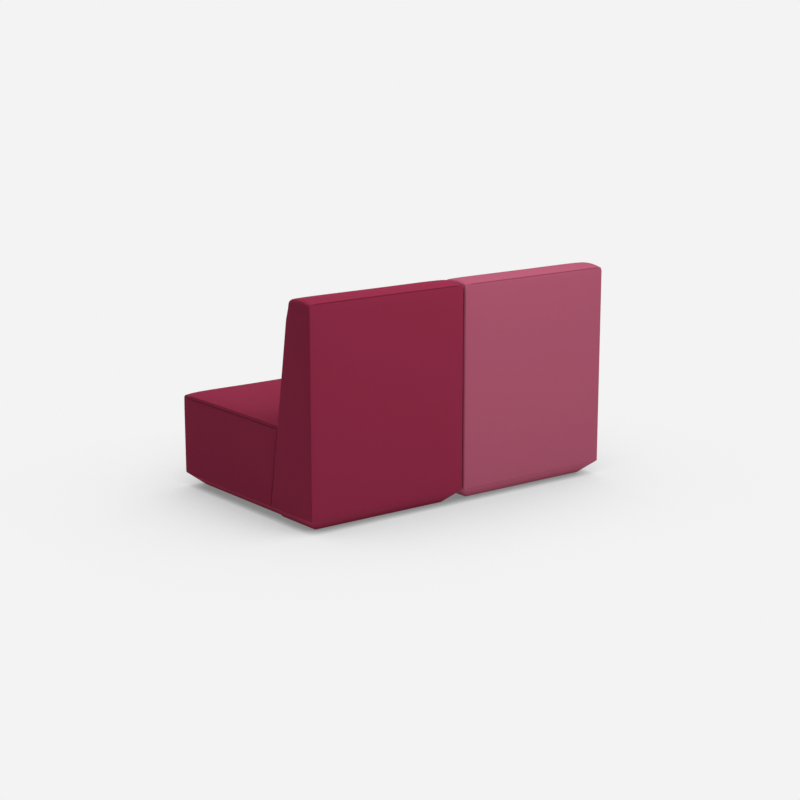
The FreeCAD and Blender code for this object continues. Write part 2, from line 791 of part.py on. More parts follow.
def back_frame(side):
    """Two uprights, the sloping lower rail in front of them, the top rail and the rear panel."""
    step = "back_face + rail_thickness"
    outline = [
        (joint(step, "bevel_top"), "bevel_top"),
        ("frame_rear_y", "bevel_top"),
        ("frame_rear_y", "back_frame_top"),
        (joint("upright_face", "back_frame_top"), "back_frame_top"),
        (joint("upright_face", "lower_rail_top"), "lower_rail_top"),
        (joint(step, "lower_rail_top"), "lower_rail_top"),
    ]
    uprights = []
    for direction in (-1, 1):
        x = shifted(side, f"{direction} * (frame_half - rail_thickness / 2)")
        uprights.append(prism("Upright", "YZ_Plane", outline, "rail_thickness", x=x))
    node(group("Uprights", uprights), f"{side}_back_uprights")
    lower = sloped_board(
        "LowerRail", side, "back_face", step, "bevel_top", "lower_rail_top", "frame_half"
    )
    node(lower, f"{side}_back_lower_rail")
    inner = "frame_half - rail_thickness"
    top = slab(
        "TopRail",
        (f"-({inner})", joint("upright_face", "back_frame_top"), "back_frame_top - rail_thickness"),
        (inner, "frame_rear_y", "back_frame_top"), side,
    )
    node(top, f"{side}_back_top_rail")
    panel = slab(
        "RearPanel", ("-frame_half", "frame_rear_y", "bevel_top"),
        ("frame_half", "frame_rear_y + panel_thickness", "back_frame_top"), side,
    )
    node(panel, f"{side}_back_rear_panel")


def back_webbing(side):
    """Elastic straps across the uprights, behind the front foam."""
    near = "back_face + back_foam_thickness"
    room = "(back_frame_top - lower_rail_top)"
    straps = []
    for index in range(STRAP_COUNT):
        middle = f"lower_rail_top + {(index + 0.5) / STRAP_COUNT} * {room}"
        bottom, top = f"{middle} - webbing_width / 2", f"{middle} + webbing_width / 2"
        straps.append(sloped_board("Strap", side, near, "upright_face", bottom, top, "frame_half"))
    node(group("Webbing", straps), f"{side}_back_webbing")


def back_hanger_rail(side):
    """The rail on the back's front: a flange on the lower rail, and a tongue that points down."""
    tongue = "back_face - hook_sheet - hook_slack"
    outline = [
        ("back_face", "hanger_web"),
        ("back_face", "hanger_top"),
        ("back_face - hook_sheet", "hanger_top"),
        ("back_face - hook_sheet", "hanger_web + hook_sheet"),
        (f"{tongue} - hook_sheet", "hanger_web + hook_sheet"),
        (f"{tongue} - hook_sheet", "hanger_tip"),
        (tongue, "hanger_tip"),
        (tongue, "hanger_web"),
    ]
    node(sloped("HangerRail", side, outline, "hook_length / 2"), f"{side}_back_hanger_rail")


def back(side):
    """All pieces of one module's back block."""
    cavity = block(side, "back", "cavity_inset")
    back_cover(side)
    back_foam(side, cavity)
    back_frame(side)
    back_webbing(side)
    plinth(side, "back", cavity, stem_holes(side, "back"))
    glides(side, "back")
    back_hanger_rail(side)


# Links between the modules


def link_rows():
    """Y of each link bar."""
    return [
        f"side_batten_front_y + {share} * (side_batten_rear_y - side_batten_front_y)"
        for share in LINK_SHARES
    ]


def link_screw_places():
    """X and Y of the screws that hold the link bars under the left seat."""
    return [
        ("link_x", f"{row} + {direction} * link_screw_spacing / 2")
        for row in link_rows()
        for direction in (-1, 1)
    ]


def link_holes(side, blind):
    """Holes for the link screws in the left seat, or for the bushes in the right one."""
    if side == "left":
        places, diameter = link_screw_places(), "link_screw_diameter + 2 * screw_clearance"
        top = "link_bar_bottom + link_screw_length + screw_clearance"
    else:
        places = [("-link_x", row) for row in link_rows()]
        diameter = "link_bush_diameter + 2 * screw_clearance"
        deep_pin = "link_bar_top + link_pin_length + link_pin_clearance"
        top = f"max(seat_plinth_bottom + link_bush_length; {deep_pin})"
    if not blind:
        top = "seat_plinth_bottom"
    return [rod("LinkHole", diameter, x, y, "-overrun", top) for x, y in places]


def links():
    """Steel bars with upright pins under the left seat, their screws, and bushes in the right seat."""
    bars = []
    half_bar = "link_bar_width / 2"
    for row in link_rows():
        bar = slab(
            "Bar", ("-link_x - link_bar_end", f"{row} - {half_bar}", "link_bar_bottom"),
            ("link_x + link_bar_end", f"{row} + {half_bar}", "link_bar_top"),
        )
        pin_top = "link_bar_top + link_pin_length - link_pin_tip"
        pin = rod("Pin", "link_pin_diameter", "-link_x", row, "link_bar_bottom", pin_top)
        tip = doc.addObject("Part::Cone", "PinTip")
        bind(tip, "Radius1", "link_pin_diameter / 2")
        bind(tip, "Radius2", "link_pin_diameter / 2 - link_pin_tip")
        bind(tip, "Height", "link_pin_tip")
        bind(tip, ".Placement.Base.x", "-link_x")
        bind(tip, ".Placement.Base.y", row)
        bind(tip, ".Placement.Base.z", pin_top)
        bars.append(join("Part::Fuse", "Bar", join("Part::Fuse", "Bar", bar, pin), tip))
    holes = group("ScrewHoles", link_screw_shapes("screw_clearance"))
    node(cut("LinkBars", group("Bars", bars), holes), "link_bars")
    node(group("LinkScrews", link_screw_shapes()), "link_bar_screws")
    bushes = []
    top = "seat_plinth_bottom + link_bush_length"
    for row in link_rows():
        sleeve = rod("Sleeve", "link_bush_diameter", "-link_x", row, "seat_plinth_bottom", top)
        bore = rod(
            "Bore", "link_pin_diameter + 2 * link_pin_clearance", "-link_x", row, "0", f"{top} + overrun"
        )
        bushes.append(cut("Bush", sleeve, bore))
    node(group("Bushes", bushes), "link_bushes")


def link_screw_shapes(clearance="0"):
    """Screws up through the link bars, or with a clearance the holes for them."""
    items = []
    for x, y in link_screw_places():
        head_top = f"link_bar_bottom + link_screw_head_height + {clearance}"
        head = rod(
            "Head", f"link_screw_head_diameter + 2 * {clearance}", x, y, "link_bar_bottom", head_top
        )
        shank = rod(
            "Shank", f"link_screw_diameter + 2 * {clearance}", x, y,
            "link_bar_bottom", f"link_bar_bottom + link_screw_length + {clearance}",
        )
        items.append(join("Part::Fuse", "Screw", head, shank))
    return items


def check_and_write():
    """Stop at any failed object or unsound solid, then write each sub-part to its file."""
    doc.recompute()
    failed = [item.Label for item in doc.Objects if {"Invalid", "Error"} & set(item.State)]
    unsound = [item.Label for item in parts if item.Shape.isNull() or not item.Shape.isValid()]
    empty = [item.Label for item in parts if not item.Shape.Solids]
    if failed or unsound or empty:
        raise RuntimeError(f"failed {failed}, unsound {unsound}, empty {empty}")
    os.makedirs("parts", exist_ok=True)
    for item in parts:
        item.Shape.exportStep(f"parts/{item.Label}.step")
    print(f"{len(parts)} sub-parts, {sum(len(item.Shape.Solids) for item in parts)} solids")


sizes = fill_sheet("Sizes", {name: str(number) for name, number in SIZES.items()})
places = fill_sheet("Places", {name: f"={cells(text)}" for name, text in PLACES.items()})
for module in MODULES:
    seat(module)
    back(module)
links()
check_and_write()
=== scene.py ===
"""Dresses the two-seat sofa: sewn covers, a finish on every piece, and a studio round it."""

import json
import logging
from dataclasses import dataclass, replace
from enum import Enum, auto
from math import atan2, hypot, pi, sqrt

import bmesh
import bpy
import numpy as np
from mathutils import Matrix, Vector

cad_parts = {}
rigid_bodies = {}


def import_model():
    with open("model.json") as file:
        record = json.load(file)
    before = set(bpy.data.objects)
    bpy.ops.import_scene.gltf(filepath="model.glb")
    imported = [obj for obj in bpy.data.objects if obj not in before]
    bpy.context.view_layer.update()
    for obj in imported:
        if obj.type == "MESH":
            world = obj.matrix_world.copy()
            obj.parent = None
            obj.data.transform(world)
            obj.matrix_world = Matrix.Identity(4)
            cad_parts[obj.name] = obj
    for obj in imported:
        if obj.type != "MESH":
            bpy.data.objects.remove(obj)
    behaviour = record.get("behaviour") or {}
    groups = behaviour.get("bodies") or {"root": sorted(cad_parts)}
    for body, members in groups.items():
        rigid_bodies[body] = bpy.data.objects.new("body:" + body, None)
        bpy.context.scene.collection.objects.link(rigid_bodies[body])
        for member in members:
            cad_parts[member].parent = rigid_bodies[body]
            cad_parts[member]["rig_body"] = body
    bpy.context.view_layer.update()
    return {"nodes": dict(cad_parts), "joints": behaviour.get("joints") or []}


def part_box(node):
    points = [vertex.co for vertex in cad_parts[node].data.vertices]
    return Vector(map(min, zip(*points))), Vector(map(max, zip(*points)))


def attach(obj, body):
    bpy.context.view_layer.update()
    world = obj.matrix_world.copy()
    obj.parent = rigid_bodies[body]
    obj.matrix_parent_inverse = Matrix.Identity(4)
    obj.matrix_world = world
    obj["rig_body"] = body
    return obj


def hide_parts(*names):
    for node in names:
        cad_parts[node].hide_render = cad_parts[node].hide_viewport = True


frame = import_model()

MM = 0.001
Colour = tuple[float, float, float, float]
Place = tuple[float, float, float]
Point = tuple[float, float]
Socket = bpy.types.NodeSocket
Sockets = dict[int | str, object]
Tree = bpy.types.NodeTree
log = logging.getLogger("sofa")


class Axis(Enum):
    """An axis of the frame: X to the sitter's left, Y to the rear and Z up."""

    X = 0
    Y = 1
    Z = 2


class Side(Enum):
    """A module of the sofa, by the sitter's hand."""

    LEFT = "left"
    RIGHT = "right"


class Kind(Enum):
    """A block of a module."""

    SEAT = "seat"
    BACK = "back"


class Face(Enum):
    """A face of a block. The band is its front and its top in one, and a foot is the bevel under a side."""

    BOTTOM = auto()
    BAND = auto()
    BAND_FOOT = auto()
    REAR = auto()
    REAR_FOOT = auto()
    LEFT = auto()
    LEFT_FOOT = auto()
    RIGHT = auto()
    RIGHT_FOOT = auto()


Faces = dict[Face, tuple[np.ndarray, np.ndarray]]
# The upright sides, the bevels under them and the way that they face along X
HANDS = ((Face.RIGHT, Face.RIGHT_FOOT, -1), (Face.LEFT, Face.LEFT_FOOT, 1))

# Finishes

# Sockets of a Mix node, by number because their names repeat
SHARE = 0
FIRST_NUMBER = 2
SECOND_NUMBER = 3
FIRST_COLOUR = 6
SECOND_COLOUR = 7
MIXED_COLOUR = 2


def linear(hex_colour: str) -> Colour:
    """Turn an sRGB hex colour into linear red, green, blue and an alpha of one.

    The sRGB curve is a straight line near black, and a power of 2.4 above it.

    Args:
        hex_colour: six hex digits after a hash.

    Returns:
        The linear colour.
    """
    shares = [int(hex_colour[start:start + 2], 16) / 255 for start in (1, 3, 5)]
    red, green, blue = [
        share / 12.92 if share <= 0.04045 else ((share + 0.055) / 1.055) ** 2.4 for share in shares
    ]
    return red, green, blue, 1.0


def add_node(
    tree: Tree, kind: str, sockets: Sockets | None = None, **settings: object
) -> bpy.types.Node:
    """Add a node with its settings and its inputs.

    Args:
        tree: the material's or the world's node tree.
        kind: the node's type name.
        sockets: for each input, by name or number, a value or the output that is linked to it.
        settings: the node's own properties.

    Returns:
        The node.
    """
    made = tree.nodes.new(kind)
    for name, setting in settings.items():
        setattr(made, name, setting)
    for name, given in (sockets or {}).items():
        if isinstance(given, Socket):
            tree.links.new(given, made.inputs[name])
        else:
            made.inputs[name].default_value = given
    return made


def band_scale(spacing: float) -> float:
    """Scale of a wave texture whose bands lie a spacing apart: its phase is 20 times scale times place."""
    return 2 * pi / (20 * spacing)


def shown_rays(tree: Tree) -> Socket:
    """Tell rays that show the studio from rays that light the sofa.

    Args:
        tree: the material's or the world's node tree.

    Returns:
        An output that is one for a ray from the camera, a reflection or a clear pane, and zero otherwise.
    """
    path = add_node(tree, "ShaderNodeLightPath")
    shown = path.outputs["Is Camera Ray"]
    for name in ("Is Glossy Ray", "Is Transmission Ray"):
        both = {0: shown, 1: path.outputs[name]}
        shown = add_node(tree, "ShaderNodeMath", both, operation="MAXIMUM").outputs[0]
    return shown


def blank(name: str) -> tuple[bpy.types.Material, Tree]:
    """Start a material.

    Args:
        name: the real material's name.

    Returns:
        The material and its empty node tree.
    """
    material = bpy.data.materials.new(name)
    material.use_nodes = True
    material.node_tree.nodes.clear()
    return material, material.node_tree


def end_surface(tree: Tree, height: Socket, depth: float, share: float, sockets: Sockets) -> None:
    """End a material with its relief, its shader and its output.

    Args:
        tree: the material's node tree.
        height: the pattern that stands out.
        depth: how far it stands out.
        share: how much of that the shading shows.
        sockets: the shader's colour and its constants.
    """
    relief = {"Strength": share, "Distance": depth, "Height": height}
    normal = add_node(tree, "ShaderNodeBump", relief).outputs[0]
    shader = add_node(tree, "ShaderNodeBsdfPrincipled", {**sockets, "Normal": normal})
    add_node(tree, "ShaderNodeOutputMaterial", {"Surface": shader.outputs[0]})


@dataclass(frozen=True)
class WovenWool:
    """Plain-woven wool upholstery cloth: matt, with a short nap that pales at the edge of view."""

    name: str
    slot: str
    # The yarn's colour, and a deeper one that is painted shade between the threads and uneven yarn
    thread: str
    shade: str
    # The seams' colour: painted shade in their creases
    seam: str
    # The real threads lie 1.1 mm apart, and are drawn coarser to show in the picture
    thread_spacing: float = 2.2 * MM
    thread_waver: float = 1.2
    slub_length: float = 16 * MM
    # How much of the tone is the weave's painted shade rather than uneven yarn
    weave_share: float = 0.5
    relief: float = 0.3 * MM
    relief_share: float = 0.5
    roughness: float = 0.9
    ior: float = 1.46
    gloss: float = 0.06
    nap: float = 0.1
    nap_roughness: float = 0.5

    def material(self) -> bpy.types.Material:
        """Crossed threads as two wave bands on the cover's own UV map, uneven yarn, and painted shade in
        the weave and at seams.

        The weave is the product of the bands. The yarn goes from its shade colour to its thread colour by a
        blend of the weave, which paints shade between the threads, and a noise, which is uneven yarn. The
        seam attribute turns it to the seam colour; both are painted shade in the seams' creases.

        Returns:
            The material.
        """
        material, tree = blank(self.name)
        place = add_node(tree, "ShaderNodeUVMap", uv_map="cloth").outputs[0]
        scale = band_scale(2 * self.thread_spacing)
        bands = {"Vector": place, "Scale": scale, "Distortion": self.thread_waver}
        warp, weft = [
            add_node(tree, "ShaderNodeTexWave", bands, bands_direction=axis.name).outputs["Fac"]
            for axis in (Axis.X, Axis.Y)
        ]
        weave = add_node(tree, "ShaderNodeMath", {0: warp, 1: weft}, operation="MULTIPLY").outputs[0]
        noise = {"Vector": place, "Scale": 1 / self.slub_length, "Detail": 6.0, "Roughness": 0.65}
        slub = add_node(tree, "ShaderNodeTexNoise", noise).outputs["Fac"]
        # The weave's share of the blend is painted shade between the threads; the noise's share is uneven
        # yarn
        blend = {SHARE: self.weave_share, FIRST_NUMBER: slub, SECOND_NUMBER: weave}
        weave_shade_and_yarn = add_node(tree, "ShaderNodeMix", blend, data_type="FLOAT").outputs[0]
        yarn = {SHARE: weave_shade_and_yarn, FIRST_COLOUR: linear(self.shade), SECOND_COLOUR: linear(self.thread)}
        cloth = add_node(tree, "ShaderNodeMix", yarn, data_type="RGBA").outputs[MIXED_COLOUR]
        # The seam attribute is the painted shade beside the seams, which turns the cloth to the seam colour
        seam = add_node(tree, "ShaderNodeAttribute", attribute_name="seam").outputs["Fac"]
        sewn = {SHARE: seam, FIRST_COLOUR: cloth, SECOND_COLOUR: linear(self.seam)}
        colour = add_node(tree, "ShaderNodeMix", sewn, data_type="RGBA").outputs[MIXED_COLOUR]
        end_surface(tree, weave, self.relief, self.relief_share, {
            "Base Color": colour, "Roughness": self.roughness, "IOR": self.ior,
            "Specular IOR Level": self.gloss, "Sheen Weight": self.nap,
            "Sheen Roughness": self.nap_roughness, "Sheen Tint": linear(self.thread),
        })
        return material


@dataclass(frozen=True)
class Grained:
    """A solid stuff with a fine grain: foam, felt, thread, moulded plastic or metal."""

    name: str
    pale: str
    dark: str
    spacing: float
    roughness: float
    relief: float
    metallic: float = 0.0
    relief_share: float = 0.4

    def pattern(self, tree: Tree, place: Socket) -> Socket:
        """Noise of the grain's size.

        Args:
            tree: the material's node tree.
            place: Object coordinates.

        Returns:
            The pattern's output.
        """
        noise = {"Vector": place, "Scale": 1 / self.spacing, "Detail": 4.0}
        return add_node(tree, "ShaderNodeTexNoise", noise).outputs["Fac"]

    def material(self) -> bpy.types.Material:
        """The pattern on Object coordinates, from the dark colour to the pale one, with a little relief.

        Returns:
            The material.
        """
        material, tree = blank(self.name)
        pattern = self.pattern(tree, add_node(tree, "ShaderNodeTexCoord").outputs["Object"])
        tones = {SHARE: pattern, FIRST_COLOUR: linear(self.dark), SECOND_COLOUR: linear(self.pale)}
        colour = add_node(tree, "ShaderNodeMix", tones, data_type="RGBA").outputs[MIXED_COLOUR]
        end_surface(tree, pattern, self.relief, self.relief_share, {
            "Base Color": colour, "Roughness": self.roughness, "Metallic": self.metallic,
        })
        return material


@dataclass(frozen=True)
class Sawn(Grained):
    """Sawn softwood or plywood: long growth lines or thin veneers in two browns."""

    relief_share: float = 0.2
    direction: Axis = Axis.Z
    waver: float = 4.0

    def pattern(self, tree: Tree, place: Socket) -> Socket:
        """Wave bands across a direction, bent by their own noise.

        Args:
            tree: the material's node tree.
            place: Object coordinates.

        Returns:
            The pattern's output.
        """
        lines = {
            "Vector": place, "Scale": band_scale(self.spacing), "Distortion": self.waver,
            "Detail": 3.0, "Detail Scale": 0.3,
        }
        settings = {"bands_direction": self.direction.name, "wave_profile": "SAW"}
        return add_node(tree, "ShaderNodeTexWave", lines, **settings).outputs["Fac"]


# Wool dyed in the yarn: a deep even colour with no shine, on which only the seams stand out. Each
# has its thread colour, a deeper one for painted shade in the weave and uneven yarn, and a painted
# shade for its seams
WOOLS = {
    Side.LEFT: WovenWool("wine_wool_cloth", "wine_fabric", "#982F4B", "#8F2B46", "#4C1222"),
    Side.RIGHT: WovenWool("rose_wool_cloth", "rose_fabric", "#B95F78", "#AE576E", "#783048"),
}
# Spun polyester thread: small soft glints in a row, close to the cloth's own colour
THREADS = {
    Side.LEFT: Grained("wine_sewing_thread", "#8A3049", "#6C2138", 0.8 * MM, 0.7, 0.1 * MM),
    Side.RIGHT: Grained("rose_sewing_thread", "#B66A80", "#96506A", 0.8 * MM, 0.7, 0.1 * MM),
}
# Spunbonded fleece: dull black, with the speckle of its fibres
DUST_CLOTH = Grained("spunbond_dust_cloth", "#2B2B2B", "#1A1A1A", 1.2 * MM, 0.9, 0.2 * MM)
# Galvanised wire: pale bright metal that catches the light at its crown
STAPLE_WIRE = Grained("galvanised_staple_wire", "#C9CBD0", "#A9ABB2", 3 * MM, 0.3, 0.02 * MM, 1.0)
# Planed birch plywood: warm pale brown, with thin even veneer lines at its edges
PLYWOOD = Sawn("birch_plywood", "#D9BC8C", "#B28F5C", 1.5 * MM, 0.7, 0.2 * MM, waver=1.0)
# Sawn pine: yellow brown, with wide growth lines that wander
PINE = Sawn("sawn_pine", "#E2C08A", "#C59A5C", 6 * MM, 0.7, 0.2 * MM)


@dataclass(frozen=True)
class Stuffing:
    """What a soft piece under a cover is made of, how far it is drawn in and how round its edges are."""

    ending: str
    finish: Grained
    slot: str
    draw_in: float
    edge: float
    padded: bool


# For each ending of a node's name, the soft stuff that stands for it
STUFFINGS = {
    # Cut foam: cream and quite matt, with open pores
    "foam": Stuffing(
        "filling", Grained("polyurethane_foam", "#EFE7CF", "#D9CDAE", 1.5 * MM, 0.95, 0.4 * MM),
        "foam", 6 * MM, 5 * MM, True,
    ),
    # Pressed felt of mixed fibres: mottled grey, quite matt
    "spring_pad": Stuffing(
        "felt", Grained("pressed_felt", "#77756F", "#4E4C48", 2.5 * MM, 0.95, 0.5 * MM),
        "felt", 0.4 * MM, 1.2 * MM, True,
    ),
    # Woven rubber and polyester: nearly black, dull and a little rough
    "webbing": Stuffing(
        "straps", Grained("elastic_webbing", "#3A3A3A", "#242424", 2 * MM, 0.85, 0.4 * MM),
        "webbing", 0.1 * MM, 0.6 * MM, False,
    ),
}
# For the endings of a node's name, in the order in which they are tried, the finish of the piece
NODE_FINISHES = (
    # Moulded nylon: off-white, with a dull shine
    (("spring_clips",), Grained("moulded_nylon_clip", "#E4E0D4", "#D6D1C2", 3 * MM, 0.5, 0.05 * MM)),
    # Drawn spring steel: dark grey metal, streaked by the die
    (("springs",), Grained("drawn_spring_steel", "#8C8C90", "#5F5F63", 4 * MM, 0.35, 0.02 * MM, 1.0)),
    # Zinc plate: pale bright metal, faintly mottled
    (("screws",), Grained("zinc_plated_screw", "#C9CBD0", "#A9ABB2", 3 * MM, 0.3, 0.02 * MM, 1.0)),
    (("link_bars",), Grained("zinc_plated_bar", "#C4C6CC", "#A4A6AD", 6 * MM, 0.35, 0.03 * MM, 1.0)),
    # Extruded aluminium as it leaves the mill: white metal with a satin shine
    (
        ("hook_rail", "hanger_rail"),
        Grained("mill_aluminium", "#D8D9DB", "#BFC0C3", 5 * MM, 0.4, 0.03 * MM, 1.0),
    ),
    # Moulded polypropylene: black with a waxy shine
    (("glides", "bushes"), Grained("black_polypropylene", "#262626", "#1C1C1C", 2 * MM, 0.5, 0.05 * MM)),
    (("base_board",), PLYWOOD),
    (("rear_panel",), replace(PLYWOOD, name="birch_plywood_panel", direction=Axis.Y)),
    (("uprights",), replace(PLYWOOD, name="birch_plywood_upright", direction=Axis.X)),
    (("plinth", "rail", "rails"), PINE),
    (("posts",), replace(PINE, name="sawn_pine_post", direction=Axis.X)),
)


# Shapes


def graded(length: float, fine: float, coarse: float, even: int, growth: float) -> np.ndarray:
    """Share a length into steps that are fine at both ends and grow towards the middle.

    The first steps are even; each later one is the growth times the one before, up to the coarse step.
    A mark within a third of the coarse step of the middle is left out.

    Args:
        length: the whole length.
        fine: the step at the ends.
        coarse: the largest step.
        even: how many fine steps each end has.
        growth: how much each later step grows.

    Returns:
        Shares from zero to one.
    """
    count = int(length / fine) + 1
    steps = np.minimum(fine * growth ** np.maximum(np.arange(count) - even, 0), coarse)
    marks = np.concatenate(([0.0], np.cumsum(steps)))
    half = marks[marks < length / 2 - coarse / 3]
    return np.concatenate((half, [length / 2], length - half[::-1])) / length


def snapped(shares: np.ndarray, wanted: tuple[float, ...]) -> np.ndarray:
    """Move the nearest share to each wanted one, so that an opening's edge falls on a line of the grid.

    Args:
        shares: rising shares from zero to one.
        wanted: the shares that have to be among them.

    Returns:
        The moved shares.
    """
    moved = shares.copy()
    for share in wanted:
        moved[np.abs(moved - share).argmin()] = share
    return moved


def straight(start: Point, end: Point, shares: np.ndarray) -> np.ndarray:
    """Points at shares of the way along a straight line, as rows of Y and Z."""
    return np.array(start) + shares[:, None] * (np.array(end) - np.array(start))


def nearest_inside(points: np.ndarray, normals: np.ndarray, offsets: np.ndarray, sweeps: int) -> np.ndarray:
    """Nearest points of a convex body, which is where a set of half-spaces meet.

    Each sweep projects the points onto every half-space in turn, and gives back what the sweep before
    took off for that half-space (Dykstra's alternating projection).

    Args:
        points: the points, one to a row.
        normals: the half-spaces' outward unit normals, one to a row.
        offsets: how far along its normal each half-space ends.
        sweeps: how many times all half-spaces are visited.

    Returns:
        The nearest points.
    """
    found = points.copy()
    taken = np.zeros((len(normals), len(points), 1))
    for _ in range(sweeps):
        for index, normal in enumerate(normals):
            found += taken[index] * normal
            taken[index, :, 0] = np.maximum(found @ normal - offsets[index], 0)
            found -= taken[index] * normal
    return found


def spline_weights(old: np.ndarray, new: np.ndarray) -> np.ndarray:
    """Matrix that carries values at old places to new places along a natural cubic spline.

    The spline's second derivatives are the solution of its three-term equations. Each value is then the
    straight blend of its two neighbours, plus the cubic terms of their second derivatives.

    Args:
        old: rising places of the known values.
        new: places of the wanted values, within the old ones.

    Returns:
        One row of weights for each new place.
    """
    gaps = np.diff(old)
    count = len(old)
    inner = np.arange(1, count - 1)
    left = np.eye(count)
    left[inner, inner - 1] = gaps[:-1]
    left[inner, inner] = 2 * (gaps[:-1] + gaps[1:])
    left[inner, inner + 1] = gaps[1:]
    right = np.zeros((count, count))
    right[inner, inner - 1] = 6 / gaps[:-1]
    right[inner, inner] = -6 / gaps[:-1] - 6 / gaps[1:]
    right[inner, inner + 1] = 6 / gaps[1:]
    bends = np.linalg.solve(left, right)
    index = np.clip(np.searchsorted(old, new, side="right") - 1, 0, count - 2)
    gap = gaps[index]
    share = (new - old[index]) / gap
    rows = np.arange(len(new))
    weights = np.zeros((len(new), count))
    weights[rows, index] = 1 - share
    weights[rows, index + 1] = share
    nearer = ((1 - share) ** 3 - (1 - share)) * gap ** 2 / 6
    further = (share ** 3 - share) * gap ** 2 / 6
    return weights + nearer[:, None] * bends[index] + further[:, None] * bends[index + 1]


@dataclass
class Grid:
    """Shares at which the panels are divided: across, up the sides, over the top and down the bevel."""

    across: np.ndarray
    up: np.ndarray
    over: np.ndarray
    down: np.ndarray


@dataclass
class Panel:
    """One cut of cloth as a grid of points on the sharp block, with its flat coordinates and its shares."""

    points: np.ndarray
    flat: np.ndarray
    rows: np.ndarray
    columns: np.ndarray


